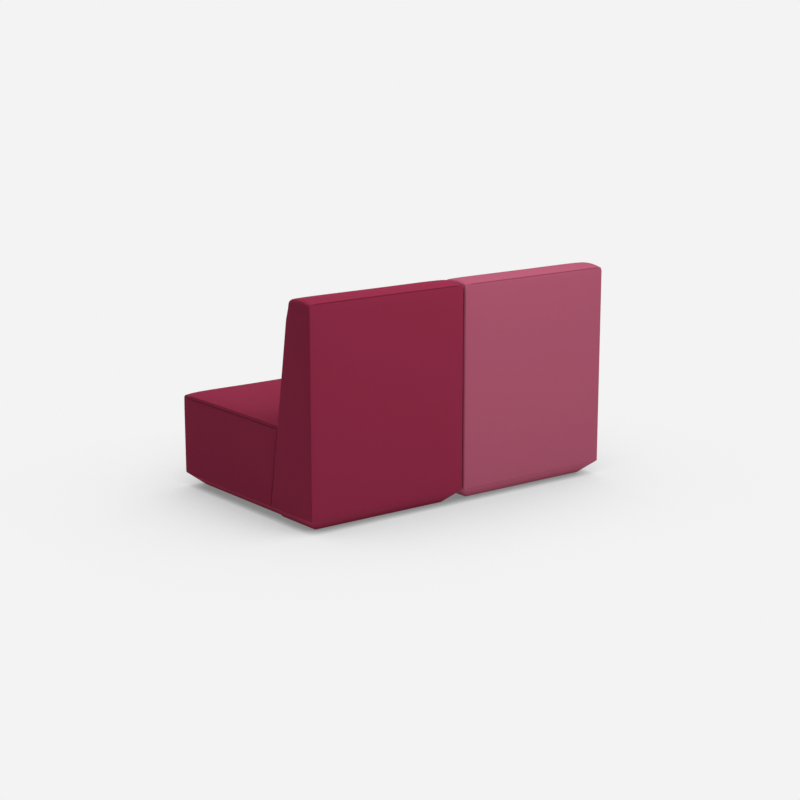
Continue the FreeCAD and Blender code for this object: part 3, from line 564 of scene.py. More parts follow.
@dataclass
class BlockShape:
    """An upholstered block about its module's middle: a side outline carried across, bevelled below.

    The outline's points are pairs of Y and Z. The band is the cloth that runs from the foot of the
    front over the nose and the crown to the corner; the rear is the side under the corner.
    """

    half_width: float
    band_foot: Point
    band_head: Point
    rear_foot: Point
    rear_head: Point
    corner: Point
    crown: float
    nose_radius: float
    bevel_inset: float
    # Grid steps, fine beside the seams
    fine_step: float = 1.4 * MM
    coarse_step: float = 13 * MM
    nose_step: float = 4.5 * MM
    even_steps: int = 13
    step_growth: float = 1.35
    nose_tangents: int = 9
    crown_tangents: int = 7

    def __post_init__(self) -> None:
        """Work out the crown's and the nose's circles.

        The crown's circle passes through the corner and the band's end at the same height, and rises
        by the crown between them. The nose's circle touches the band's line and the crown from inside.
        """
        self.foot_half = self.half_width - self.bevel_inset
        head = np.array(self.band_head)
        corner = np.array(self.corner)
        upright = self.band_foot[0] > self.band_head[0]
        upward = np.array((0.0, 1.0)) if upright else head - np.array(self.band_foot)
        upward = upward / np.linalg.norm(upward)
        inward = np.array((upward[1], -upward[0]))
        start = head + upward * (corner[1] - head[1]) / upward[1]
        chord = corner[0] - start[0]
        self.crown_radius = chord ** 2 / (8 * self.crown) + self.crown / 2
        self.crown_centre = (start + corner) / 2 - np.array((0.0, self.crown_radius - self.crown))
        base = start + inward * self.nose_radius - self.crown_centre
        along = base @ upward
        reach = self.crown_radius - self.nose_radius
        rise = -along + sqrt(along ** 2 - base @ base + reach ** 2)
        self.nose_centre = start + inward * self.nose_radius + rise * upward
        self.band_end = self.nose_centre - inward * self.nose_radius
        arms = (-inward, self.nose_centre - self.crown_centre, corner - self.crown_centre)
        self.angles = tuple(atan2(arm[1], arm[0]) for arm in arms)
        first, second, third = self.angles
        self.nose_length = self.nose_radius * (first - second)
        self.top_length = self.nose_length + self.crown_radius * (second - third)
        self.height = self.corner[1] - self.band_head[1]
        self.slant = hypot(self.bevel_inset, self.band_head[1] - self.band_foot[1])

    def top_curve(self, shares: np.ndarray) -> tuple[np.ndarray, np.ndarray]:
        """Points of the nose and crown at shares of their length, from the band's end to the corner.

        Each arc is its centre plus its radius along a normal that turns evenly with the length.

        Args:
            shares: shares of the length, from zero to one.

        Returns:
            The points and their outward normals, as rows of Y and Z.
        """
        first, second, _ = self.angles
        run = shares * self.top_length
        on_nose = run < self.nose_length
        turn = np.where(
            on_nose, first - run / self.nose_radius, second - (run - self.nose_length) / self.crown_radius
        )
        normals = np.stack((np.cos(turn), np.sin(turn)), axis=1)
        nose = self.nose_centre + self.nose_radius * normals
        crown = self.crown_centre + self.crown_radius * normals
        return np.where(on_nose[:, None], nose, crown), normals

    def sewing_grid(self, openings_x: tuple[float, ...], openings_z: tuple[float, ...]) -> Grid:
        """The cover's grid, fine beside the seams.

        Args:
            openings_x: places across, about the middle, that a line has to pass through.
            openings_z: heights that a line has to pass through.

        Returns:
            The grid.
        """
        wide = 2 * self.half_width
        low = self.band_head[1]
        grade = (self.even_steps, self.step_growth)
        across = graded(wide, self.fine_step, self.coarse_step, *grade)
        up = graded(self.height, self.fine_step, self.coarse_step, *grade)
        coarse = self.nose_step if self.top_length < self.height else self.coarse_step
        return Grid(
            snapped(across, tuple(x / wide + 0.5 for x in openings_x)),
            snapped(up, tuple((z - low) / self.height for z in openings_z)),
            graded(self.top_length, self.fine_step, coarse, *grade),
            graded(self.slant, self.fine_step, self.coarse_step, self.even_steps // 2, self.step_growth),
        )

    def even_grid(self, step: float) -> Grid:
        """A grid of nearly square cells of one size."""
        lengths = (2 * self.half_width, self.height, self.top_length, self.slant)
        return Grid(*[np.linspace(0, 1, round(length / step) + 1) for length in lengths])

    def faces(self) -> Faces:
        """The block's faces as half-spaces.

        A line of the outline from one point to the next has its normal a quarter turn to the right. The
        nose and the crown are the planes that touch them at even steps.

        Returns:
            For each face, outward unit normals and how far along them it lies.
        """
        outline = {
            Face.BOTTOM: (self.band_foot, self.rear_foot),
            Face.REAR_FOOT: (self.rear_foot, self.rear_head),
            Face.REAR: (self.rear_head, self.corner),
            Face.BAND_FOOT: (self.band_head, self.band_foot),
        }
        made = {}
        for face, (start, end) in outline.items():
            run = np.array(end) - np.array(start)
            normal = np.array((0.0, run[1], -run[0])) / np.linalg.norm(run)
            made[face] = (normal[None], np.array([normal[1:] @ np.array(start)]))
        nose_share = self.nose_length / self.top_length
        nose = np.linspace(0, nose_share, self.nose_tangents)
        crown = np.linspace(nose_share, 1, self.crown_tangents)
        points, normals = self.top_curve(np.concatenate((nose, crown[1:])))
        flat = np.column_stack((np.zeros(len(normals)), normals))
        made[Face.BAND] = (flat, np.sum(normals * points, axis=1))
        drop = self.band_head[1] - self.band_foot[1]
        for side, foot, hand in HANDS:
            made[side] = (np.array([[hand, 0.0, 0.0]]), np.array([self.half_width]))
            bevel = np.array([[hand * drop, 0.0, -self.bevel_inset]]) / self.slant
            reach = (drop * self.half_width - self.bevel_inset * self.band_head[1]) / self.slant
            made[foot] = (bevel, np.array([reach]))
        return made

    def strip(self, grid: Grid, path: np.ndarray, halves: np.ndarray, rows: np.ndarray) -> Panel:
        """A panel that spans the block: each point of a path in Y and Z, carried across a half width.

        Args:
            grid: the grid.
            path: rows of Y and Z.
            halves: the half width at each row.
            rows: the rows' shares.

        Returns:
            The panel, flat by X and by the length along the path.
        """
        x = np.outer(halves, 2 * grid.across - 1)
        points = np.dstack((x, np.repeat(path[:, None, :], len(grid.across), axis=1)))
        length = np.concatenate(([0.0], np.cumsum(np.linalg.norm(np.diff(path, axis=0), axis=1))))
        flat = np.dstack((x, np.repeat(length[:, None], len(grid.across), axis=1)))
        return Panel(points, flat, rows, grid.across)

    def side_panels(self, grid: Grid, hand: int) -> list[Panel]:
        """The upright side and the bevel under it, on one hand.

        The side is a Coons patch: the straight blends of its opposite borders, added, less the blend of
        its corners. The bevel is the straight blend between its upper and its lower border.

        Args:
            grid: the grid.
            hand: one on the left, minus one on the right.

        Returns:
            The two panels.
        """
        low = straight(self.band_head, self.rear_head, grid.over)
        high, _ = self.top_curve(grid.over)
        near = straight(self.band_head, self.band_end, grid.up)
        far = straight(self.rear_head, self.corner, grid.up)
        u = grid.over[None, :, None]
        v = grid.up[:, None, None]
        rails = (1 - v) * low[None] + v * high[None]
        rungs = (1 - u) * near[:, None] + u * far[:, None]
        bent = (1 - v) * ((1 - u) * low[0] + u * low[-1]) + v * ((1 - u) * high[0] + u * high[-1])
        patch = rails + rungs - bent
        upright = np.dstack((np.full(patch.shape[:2], hand * self.half_width), patch))
        foot = straight(self.band_foot, self.rear_foot, grid.over)
        w = grid.down[:, None, None]
        slope = (1 - w) * foot[None] + w * low[None]
        halves = self.foot_half + self.bevel_inset * grid.down
        x = np.repeat(hand * halves[:, None], len(grid.over), axis=1)
        depth = self.slant * (grid.down - 1)[:, None] + self.band_head[1]
        bevel_flat = np.dstack((slope[:, :, 0], np.repeat(depth, len(grid.over), axis=1)))
        return [
            Panel(upright, patch, grid.up, grid.over),
            Panel(np.dstack((x, slope)), bevel_flat, grid.down, grid.over),
        ]

    def panels(self, grid: Grid) -> list[Panel]:
        """All panels of the cover; neighbours have the same points along the border that they share.

        Args:
            grid: the grid.

        Returns:
            The band, the rear, the bevels under the two, the bottom and the sides.
        """
        taper = self.foot_half + self.bevel_inset * grid.down
        top, _ = self.top_curve(grid.over)
        band = np.vstack((straight(self.band_head, self.band_end, grid.up), top[1:]))
        upper = np.full(len(band), self.half_width)
        lower = np.full(len(grid.over), self.foot_half)
        made = [
            self.strip(grid, band, upper, np.concatenate((grid.up, 1 + grid.over[1:]))),
            self.strip(grid, straight(self.rear_head, self.corner, grid.up), upper[:len(grid.up)], grid.up),
            self.strip(grid, straight(self.rear_foot, self.rear_head, grid.down), taper, grid.down),
            self.strip(grid, straight(self.band_foot, self.band_head, grid.down), taper, grid.down),
            self.strip(grid, straight(self.band_foot, self.rear_foot, grid.over), lower, grid.over),
        ]
        return made + [panel for _, _, hand in HANDS for panel in self.side_panels(grid, hand)]


def points_of(panels: list[Panel]) -> np.ndarray:
    """All points of some panels, one to a row."""
    return np.vstack([panel.points.reshape(-1, 3) for panel in panels])


def quads_of(panels: list[Panel]) -> np.ndarray:
    """Squares of all panels.

    A panel is turned round where the sum of its squares' normals points to the block's middle.

    Args:
        panels: the panels of a closed block.

    Returns:
        Rows of four point numbers that turn outwards.
    """
    middle = points_of(panels).mean(axis=0)
    made = []
    first = 0
    for panel in panels:
        rows, columns = panel.points.shape[:2]
        index = first + np.arange(rows * columns).reshape(rows, columns)
        grid = np.stack((index[:-1, :-1], index[:-1, 1:], index[1:, 1:], index[1:, :-1]), axis=2)
        along = panel.points[:-1, 1:] - panel.points[:-1, :-1]
        upward = panel.points[1:, :-1] - panel.points[:-1, :-1]
        outward = panel.points[:-1, :-1] - middle
        turned = np.sum(np.cross(along, upward) * outward) < 0
        made.append(grid.reshape(-1, 4)[:, ::-1] if turned else grid.reshape(-1, 4))
        first += rows * columns
    return np.vstack(made)


# Meshes and pieces

# Points this near to each other are one
SEWN_WITHIN = 0.005 * MM


def mesh_of(name: str, points: np.ndarray, faces: list[list[int]]) -> bpy.types.Mesh:
    """Make a mesh with smooth shading.

    Args:
        name: its name.
        points: its points, one to a row.
        faces: for each face, the numbers of its points.

    Returns:
        The mesh.
    """
    mesh = bpy.data.meshes.new(name)
    mesh.from_pydata(points.tolist(), [], faces)
    mesh.shade_smooth()
    return mesh


def sew(mesh: bpy.types.Mesh) -> None:
    """Join points that lie on each other, as along the panels' borders, and smooth the shading.

    Args:
        mesh: the mesh, which is changed.
    """
    work = bmesh.new()
    work.from_mesh(mesh)
    bmesh.ops.remove_doubles(work, verts=work.verts, dist=SEWN_WITHIN)
    work.to_mesh(mesh)
    work.free()
    mesh.shade_smooth()


def add_piece(
    mesh: bpy.types.Mesh, finish: WovenWool | Grained, body: str, stands_for: str | None = None
) -> bpy.types.Object:
    """Make a mesh a piece of the sofa, with the mesh's name.

    Args:
        mesh: the mesh, in the shared frame.
        finish: what it is made of.
        body: the body that it rides on.
        stands_for: the node that it replaces.

    Returns:
        The piece.
    """
    mesh.materials.clear()
    mesh.materials.append(finish.material())
    made = bpy.data.objects.new(mesh.name, mesh)
    bpy.context.scene.collection.objects.link(made)
    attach(made, body)
    if stands_for:
        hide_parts(stands_for)
    return made


def thicken(piece: bpy.types.Object, thickness: float, offset: float) -> None:
    """Give a cloth its thickness.

    Args:
        piece: the piece.
        thickness: how thick it is.
        offset: minus one to grow inwards, zero to grow both ways.
    """
    cloth = piece.modifiers.new("cloth_thickness", "SOLIDIFY")
    cloth.thickness = thickness
    cloth.offset = offset


def blown_up(
    start: np.ndarray, quads: np.ndarray, held: np.ndarray, pressure: float, frames: int
) -> np.ndarray:
    """Blow a closed cage up as cloth, without gravity.

    Args:
        start: the cage's points.
        quads: its squares.
        held: which points stay where they are.
        pressure: the pressure inside.
        frames: how many frames it runs.

    Returns:
        Where the points come to lie.
    """
    mesh = mesh_of("cage", start, quads.tolist())
    cage = bpy.data.objects.new("cage", mesh)
    stage = bpy.context.scene
    stage.collection.objects.link(cage)
    cage.vertex_groups.new(name="held").add(np.flatnonzero(held).tolist(), 1.0, "REPLACE")
    cloth = cage.modifiers.new("cloth", "CLOTH")
    cloth.settings.vertex_group_mass = "held"
    cloth.settings.use_pressure = True
    cloth.settings.uniform_pressure_force = pressure
    cloth.settings.effector_weights.gravity = 0
    cloth.point_cache.frame_end = frames
    for number in range(1, frames + 1):
        stage.frame_set(number)
    shown = cage.evaluated_get(bpy.context.evaluated_depsgraph_get())
    moved = np.empty(3 * len(start))
    shown.data.vertices.foreach_get("co", moved)
    bpy.data.objects.remove(cage)
    bpy.data.meshes.remove(mesh)
    stage.frame_set(1)
    return moved.reshape(-1, 3)


def evened(values: np.ndarray, quads: np.ndarray, held: np.ndarray, rounds: int) -> np.ndarray:
    """Even values out over a cage: in each round, a value moves halfway to the mean of its neighbours.

    Args:
        values: one value for each point.
        quads: the cage's squares.
        held: points whose value stays zero.
        rounds: how many times it is done.

    Returns:
        The evened values.
    """
    sides = np.vstack([quads[:, (corner, (corner + 1) % 4)] for corner in range(4)])
    first, second = np.unique(np.sort(sides, axis=1), axis=0).T
    size = len(values)
    count = np.bincount(first, minlength=size) + np.bincount(second, minlength=size)
    for _ in range(rounds):
        total = np.bincount(first, values[second], size) + np.bincount(second, values[first], size)
        values = np.where(held, 0.0, (values + total / count) / 2)
    return values


# A rod's rings: where they lie on its half length, their shares of its radius, and their points
ROD_PLACES = np.array((-1, -0.75, 0, 0.75, 1))
ROD_SIZES = np.array((0.45, 0.9, 1, 0.9, 0.45))
ROD_SIDES = 6


def capsules(
    centres: np.ndarray, along: np.ndarray, outward: np.ndarray, length: float, radius: float
) -> tuple[np.ndarray, list[list[int]]]:
    """Short rounded rods, whose ends dip into the surface that they lie on.

    A ring's radius falls off towards the ends, and its height over the surface falls with the square of
    its place along the rod. The faces turn outwards.

    Args:
        centres: the rods' middles, one to a row.
        along: unit directions of the rods.
        outward: unit directions away from the surface.
        length: how long a rod is.
        radius: its radius.

    Returns:
        All points, and the faces as lists of point numbers.
    """
    stations = ROD_PLACES[None, :, None, None]
    sizes = radius * ROD_SIZES[None, :, None, None]
    turn = np.linspace(0, 2 * pi, ROD_SIDES, endpoint=False)[None, None, :, None]
    sideways = np.cross(along, outward)[:, None, None]
    upward = outward[:, None, None]
    points = centres[:, None, None] + along[:, None, None] * stations * length / 2
    points = points + upward * (sizes * np.cos(turn) - radius * stations ** 2)
    points = points + sideways * sizes * np.sin(turn)
    rings = np.arange(ROD_PLACES.size * ROD_SIDES).reshape(-1, ROD_SIDES)
    after = np.roll(rings, -1, axis=1)
    sides = np.stack((rings[:-1], after[:-1], after[1:], rings[1:]), axis=2).reshape(-1, 4)
    starts = rings.size * np.arange(len(centres))[:, None, None]
    quads = (starts + sides[None]).reshape(-1, 4)
    ends = (starts + np.stack((rings[0, ::-1], rings[-1]))[None]).reshape(-1, ROD_SIDES)
    return points.reshape(-1, 3), quads.tolist() + ends.tolist()


# Covers


@dataclass(frozen=True)
class Ramp:
    """A smooth rise from zero to one between two places along an axis."""

    axis: Axis
    start: float
    end: float

    def share(self, points: np.ndarray) -> np.ndarray:
        """Three times the square, less twice the cube, of how far along the ramp each point is."""
        along = np.clip((points[:, self.axis.value] - self.start) / (self.end - self.start), 0, 1)
        return along ** 2 * (3 - 2 * along)


@dataclass(frozen=True)
class Seam:
    """A sewn line where two faces meet, or at a distance from there on the first face.

    A seam at the meeting of two faces holds the cloth down. Its strength says how deep it is drawn in
    and how much painted shade lies along it. A round-over is the larger radius that the padding gives
    an edge. A ramp brings in the distance, the strength and the round-over, and an end fade weakens
    the line at the sides.
    """

    first: Face
    second: Face
    strength: float
    distance: float = 0.0
    round_over: float = 0.0
    ramp: Ramp | None = None
    end_fade: float = 0.0


@dataclass(frozen=True)
class Opening:
    """A rectangle left out of a face of the cover, between two corners of X, Y and Z."""

    face: Face
    low: Place
    high: Place


# The back's front edges grow rounder towards its top
HEAD_RAMP = Ramp(Axis.Z, 0.72, 0.77)
BACK_SEAMS = [
    Seam(Face.BAND, Face.REAR, 0.9, end_fade=35 * MM),
    *[Seam(Face.BAND, side, 0.0, round_over=18 * MM, ramp=HEAD_RAMP) for side, _, _ in HANDS],
    *[Seam(Face.REAR, side, 0.35) for side, _, _ in HANDS],
    *[Seam(Face.REAR_FOOT, foot, 0.2) for _, foot, _ in HANDS],
]
# The seat's side seam comes in behind the nose: a crease at the edge, and a line below it
EDGE_RAMP = Ramp(Axis.Y, -0.405, -0.335)
LINE_RAMP = Ramp(Axis.Y, -0.415, -0.365)
SEAT_SEAMS = [
    Seam(Face.BAND, Face.REAR, 0.2),
    *[Seam(Face.BAND, side, 0.5, round_over=6 * MM, ramp=EDGE_RAMP) for side, _, _ in HANDS],
    *[Seam(side, Face.BAND, 0.6, 9.5 * MM, ramp=LINE_RAMP) for side, _, _ in HANDS],
    *[Seam(Face.REAR, side, 0.15) for side, _, _ in HANDS],
    *[Seam(Face.BAND_FOOT, foot, 0.2) for _, foot, _ in HANDS],
]


@dataclass
class Upholstery:
    """The sewn cover of a seat or of a back, which is the same on both modules."""

    kind: Kind
    seams: list[Seam]
    # Sizes of the block that its box doesn't give
    edge_radius: float
    crown: float
    nose_radius: float
    bevel_inset: float = 53 * MM
    bevel_top: float = 52 * MM
    joint_gap: float = 1 * MM
    hem_width: float = 30 * MM
    window_margin: float = 6 * MM
    # How the cloth lies
    thickness: float = 1.6 * MM
    fill: float = 0.95
    swell: float = 2.6 * MM
    top_swell: float = 2.6 * MM
    swell_reach: float = 20 * MM
    firmness: float = 2.5
    seam_depth: float = 1.8 * MM
    seam_width: float = 2.0 * MM
    # How far the painted shade beside a seam reaches
    seam_shade_width: float = 2.4 * MM
    faded: float = 0.35
    sweeps: int = 25
    # How the cloth is blown up over its padding
    cage_step: float = 12 * MM
    pressure: float = 4.0
    frames: int = 20
    first_evening: int = 14
    last_evening: int = 5
    touching: float = 0.5 * MM
    near: float = 0.01 * MM

    def __post_init__(self) -> None:
        """Take the block's sizes from the boxes of the covers and of the rails that show through them.

        The joint between seat and back leans as the back's lift does, so its Y is its foot's plus the
        lean times the height. The opening for the rails leaves room for the lift.
        """
        seat = self.kind is Kind.SEAT
        low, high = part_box(f"left_{self.kind.value}_cover")
        back_low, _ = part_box("left_back_cover")
        hook_low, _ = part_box("left_seat_hook_rail")
        hanger_low, hanger_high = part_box("left_back_hanger_rail")
        lift = next(item for item in frame["joints"] if item["name"] == "left_back_lift")
        lean = lift["axis"][1] / lift["axis"][2]
        travel = lift["range_m"][1]
        self.seat_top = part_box("left_seat_cover")[1].z
        corner_height = high.z - self.crown
        joint_foot = back_low.y - lean * back_low.z
        if seat:
            joint_foot -= self.joint_gap * sqrt(1 + lean ** 2)
        joint = [(joint_foot + lean * z, z) for z in (low.z, self.bevel_top, corner_height)]
        if seat:
            outline = [(low.y + self.bevel_inset, low.z), (low.y, self.bevel_top), *joint]
        else:
            rear = [(high.y - self.bevel_inset, low.z), (high.y, self.bevel_top), (high.y, corner_height)]
            outline = [*joint[:2], *rear]
        half_width = (high.x - low.x) / 2
        self.shape = BlockShape(half_width, *outline, self.crown, self.nose_radius, self.bevel_inset)
        half_window = (hanger_high.x - hanger_low.x) / 2 + self.window_margin
        below, above = (0.0, travel) if seat else (travel, 0.0)
        levels = (hook_low.z - below - self.window_margin, hanger_high.z + above + self.window_margin)
        self.openings = [Opening(
            Face.REAR if seat else Face.BAND,
            (-half_window, low.y, levels[0]), (half_window, high.y, levels[1]),
        )]
        if seat:
            hem = self.bevel_inset + self.hem_width
            inner = half_width - hem
            far = (inner, joint[0][0] - self.hem_width, high.z)
            self.openings.append(Opening(Face.BOTTOM, (-inner, low.y + hem, 0.0), far))
        self.faces = self.shape.faces()
        self.panels = self.shape.panels(self.shape.sewing_grid((-half_window, half_window), levels))

    def rooms(self, sharp: np.ndarray) -> dict[Face, np.ndarray]:
        """How far points lie inside each face."""
        return {face: np.min(item[1] - sharp @ item[0].T, axis=1) for face, item in self.faces.items()}

    def rounded(self, sharp: np.ndarray) -> tuple[np.ndarray, np.ndarray]:
        """Round the sharp block's edges.

        A point moves to the nearest point of the inner body, which is the block shrunk by the edge radius,
        and from there back out by that radius.

        Args:
            sharp: points on the sharp block, one to a row.

        Returns:
            The rounded points and their outward normals.
        """
        normals = np.vstack([item[0] for item in self.faces.values()])
        offsets = np.concatenate([item[1] for item in self.faces.values()])
        inner = nearest_inside(sharp, normals, offsets - self.edge_radius, self.sweeps)
        outward = sharp - inner
        reach = np.linalg.norm(outward, axis=1)[:, None]
        outward /= reach
        return inner + np.minimum(reach, self.edge_radius) * outward, outward

    def held(self, sharp: np.ndarray) -> np.ndarray:
        """Find what is held: at a seam, underneath, and where the seat and the back press together.

        Args:
            sharp: points on the sharp block, one to a row.

        Returns:
            Whether each point is held.
        """
        room = self.rooms(sharp)
        still = room[Face.BOTTOM] < self.touching
        for seam in self.seams:
            if seam.distance == 0:
                still |= np.hypot(room[seam.first], room[seam.second]) < self.touching
        if self.kind is Kind.SEAT:
            return still | (room[Face.REAR] < self.touching)
        return still | ((room[Face.BAND] < self.touching) & (sharp[:, 2] < self.seat_top))

    def most_rise(self, outward: np.ndarray) -> np.ndarray:
        """The limit of the swell, which goes with the square of how far a normal points up."""
        return self.swell + (self.top_swell - self.swell) * np.maximum(outward[:, 2], 0) ** 2

    def blown_rise(self) -> np.ndarray:
        """How far the cloth rises when it is blown up over its padding.

        A closed cage of even cells is blown up as cloth, with its held points pinned. What each point
        moved along its normal is evened out, multiplied by the padding's firmness, limited softly, by a
        hyperbolic tangent, to the swell, and carried to the cover's finer grid by splines.

        Returns:
            One height for each point of the panels.
        """
        cage = self.shape.panels(self.shape.even_grid(self.cage_step))
        sharp = points_of(cage)
        # An odd shift keeps points of one place from being rounded to two
        _, kept, joined = np.unique(
            np.round(sharp / self.near + 1 / pi), axis=0, return_index=True, return_inverse=True
        )
        joined = joined.ravel()
        start, outward = self.rounded(sharp[kept])
        quads = joined[quads_of(cage)]
        still = self.held(sharp[kept])
        moved = blown_up(start, quads, still, self.pressure, self.frames)
        height = np.maximum(np.sum((moved - start) * outward, axis=1), 0)
        height = evened(height, quads, still, self.first_evening)
        most = self.most_rise(outward)
        height = most * np.tanh(self.firmness * height / most)
        height = evened(height, quads, still, self.last_evening)
        made = []
        first = 0
        for coarse, fine in zip(cage, self.panels):
            rows, columns = coarse.points.shape[:2]
            values = height[joined[first:first + rows * columns]].reshape(rows, columns)
            down = spline_weights(coarse.rows, fine.rows)
            along = spline_weights(coarse.columns, fine.columns)
            made.append((down @ values @ along.T).ravel())
            first += rows * columns
        return np.concatenate(made)

    def lay(self, sharp: np.ndarray, rise: np.ndarray) -> tuple[np.ndarray, np.ndarray, np.ndarray]:
        """Lay the cloth: the rounded block, raised by its swell and drawn in at its seams.

        A seam draws the cloth in by its depth times a bell curve of the distance from it, and puts painted
        shade on it by its strength times a wider bell curve. A round-over takes off the difference of the
        two fillets at the edge, and falls to nothing as the square of what is left of its radius.

        Args:
            sharp: points on the sharp block, one to a row.
            rise: how far each point rises.

        Returns:
            The cloth's points, their outward normals and how much painted shade the seams put on each one.
        """
        placed, outward = self.rounded(sharp)
        room = self.rooms(sharp)
        draw = np.zeros(len(sharp))
        seam_shade = np.zeros(len(sharp))
        trim = np.zeros(len(sharp))
        sides = np.minimum(room[Face.LEFT], room[Face.RIGHT])
        for seam in self.seams:
            share = seam.ramp.share(sharp) if seam.ramp else 1.0
            away = np.hypot(room[seam.first], room[seam.second] - seam.distance * share)
            strength = seam.strength * share
            if seam.end_fade > 0:
                strength = strength * np.clip(sides / seam.end_fade, self.faded, 1)
            draw = np.maximum(draw, strength * np.exp(-(away / self.seam_width) ** 2))
            # Painted shade beside the seam, by a wider bell curve than the draw
            seam_shade = np.maximum(seam_shade, strength * np.exp(-(away / self.seam_shade_width) ** 2))
            if seam.round_over > 0:
                depth = (sqrt(2) - 1) * (seam.round_over - self.edge_radius)
                left = np.maximum(1 - away / seam.round_over, 0) ** 2
                trim = np.maximum(trim, depth * left * share)
        lift = rise - self.seam_depth * draw - trim
        return placed + lift[:, None] * outward, outward, seam_shade

    def left_out(self, centres: np.ndarray) -> np.ndarray:
        """Find the squares that lie in an opening of the cover.

        Args:
            centres: the squares' middles on the sharp block, one to a row.

        Returns:
            Whether each square is left out.
        """
        gone = np.zeros(len(centres), bool)
        for opening in self.openings:
            normals, offsets = self.faces[opening.face]
            on_face = offsets[0] - centres @ normals[0] < self.near
            inside = np.all((centres > opening.low) & (centres < opening.high), axis=1)
            gone |= on_face & inside
        return gone

    def mesh(self) -> bpy.types.Mesh:
        """Sew the cover from its panels.

        Returns:
            Its mesh about a module's middle, with its flat coordinates and the painted shade of its seams.
        """
        sharp = points_of(self.panels)
        placed, _, seam_shade = self.lay(sharp, self.blown_rise())
        quads = quads_of(self.panels)
        quads = quads[~self.left_out(sharp[quads].mean(axis=1))]
        flat = np.vstack([panel.flat.reshape(-1, 2) for panel in self.panels])
        # Points that lie inside an opening belong to no square, and are dropped
        used, corners = np.unique(quads, return_inverse=True)
        made = mesh_of(f"{self.kind.value}_cover", placed[used], corners.reshape(quads.shape).tolist())
        made.uv_layers.new(name="cloth").data.foreach_set("uv", flat[quads.ravel()].ravel())
        # The seam attribute carries the painted shade of the seams to the cloth's material
        made.attributes.new("seam", "FLOAT", "POINT").data.foreach_set("value", seam_shade[used])
        sew(made)
        return made

    def fit(self, side: Side, pattern: bpy.types.Mesh) -> bpy.types.Object:
        """Put a copy of the cover on one module, and dress it.

        Args:
            side: the module.
            pattern: the cover's mesh about a module's middle.

        Returns:
            The piece.
        """
        body = f"{side.value}_{self.kind.value}"
        low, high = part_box(f"{body}_cover")
        mesh = pattern.copy()
        mesh.name = f"{body}_upholstery"
        mesh.transform(Matrix.Translation(((low.x + high.x) / 2, 0, 0)))
        made = add_piece(mesh, WOOLS[side], body, f"{body}_cover")
        thicken(made, self.thickness, offset=-1)
        return made


@dataclass
class Stitching:
    """The row of top stitches above each side seam of a seat."""

    cover: Upholstery
    below_edge: float = 5.5 * MM
    pitch: float = 5.5 * MM
    length: float = 4.6 * MM
    radius: float = 0.42 * MM
    set_back: float = 24 * MM

    def rows(self) -> tuple[np.ndarray, list[list[int]]]:
        """Stitches along both sides of the seat's top, about a module's middle.

        The row is the top's outline, drawn in by its distance below the edge, on the upright sides.

        Returns:
            The stitches' points and faces.
        """
        shape = self.cover.shape
        count = round((shape.top_length - 2 * self.set_back) / self.pitch)
        run = self.set_back + self.pitch * np.arange(count)
        top, normals = shape.top_curve(run / shape.top_length)
        outline = top - self.below_edge * normals
        along = np.column_stack((np.zeros(count), normals[:, 1], -normals[:, 0]))
        made = []
        for _, _, hand in HANDS:
            sharp = np.column_stack((np.full(count, hand * shape.half_width), outline))
            placed, outward, _ = self.cover.lay(sharp, np.zeros(count))
            upward = outward - along * np.sum(outward * along, axis=1)[:, None]
            upward /= np.linalg.norm(upward, axis=1)[:, None]
            made.append((placed, along, upward))
        return capsules(*[np.vstack(part) for part in zip(*made)], self.length, self.radius)

    def sew_on(self, side: Side) -> bpy.types.Object:
        """Put the stitches on one seat.

        Args:
            side: the module.

        Returns:
            The piece.
        """
        body = f"{side.value}_seat"
        low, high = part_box(f"{body}_cover")
        points, faces = self.rows()
        points[:, 0] += (low.x + high.x) / 2
        return add_piece(mesh_of(f"{body}_stitching", points, faces), THREADS[side], body)


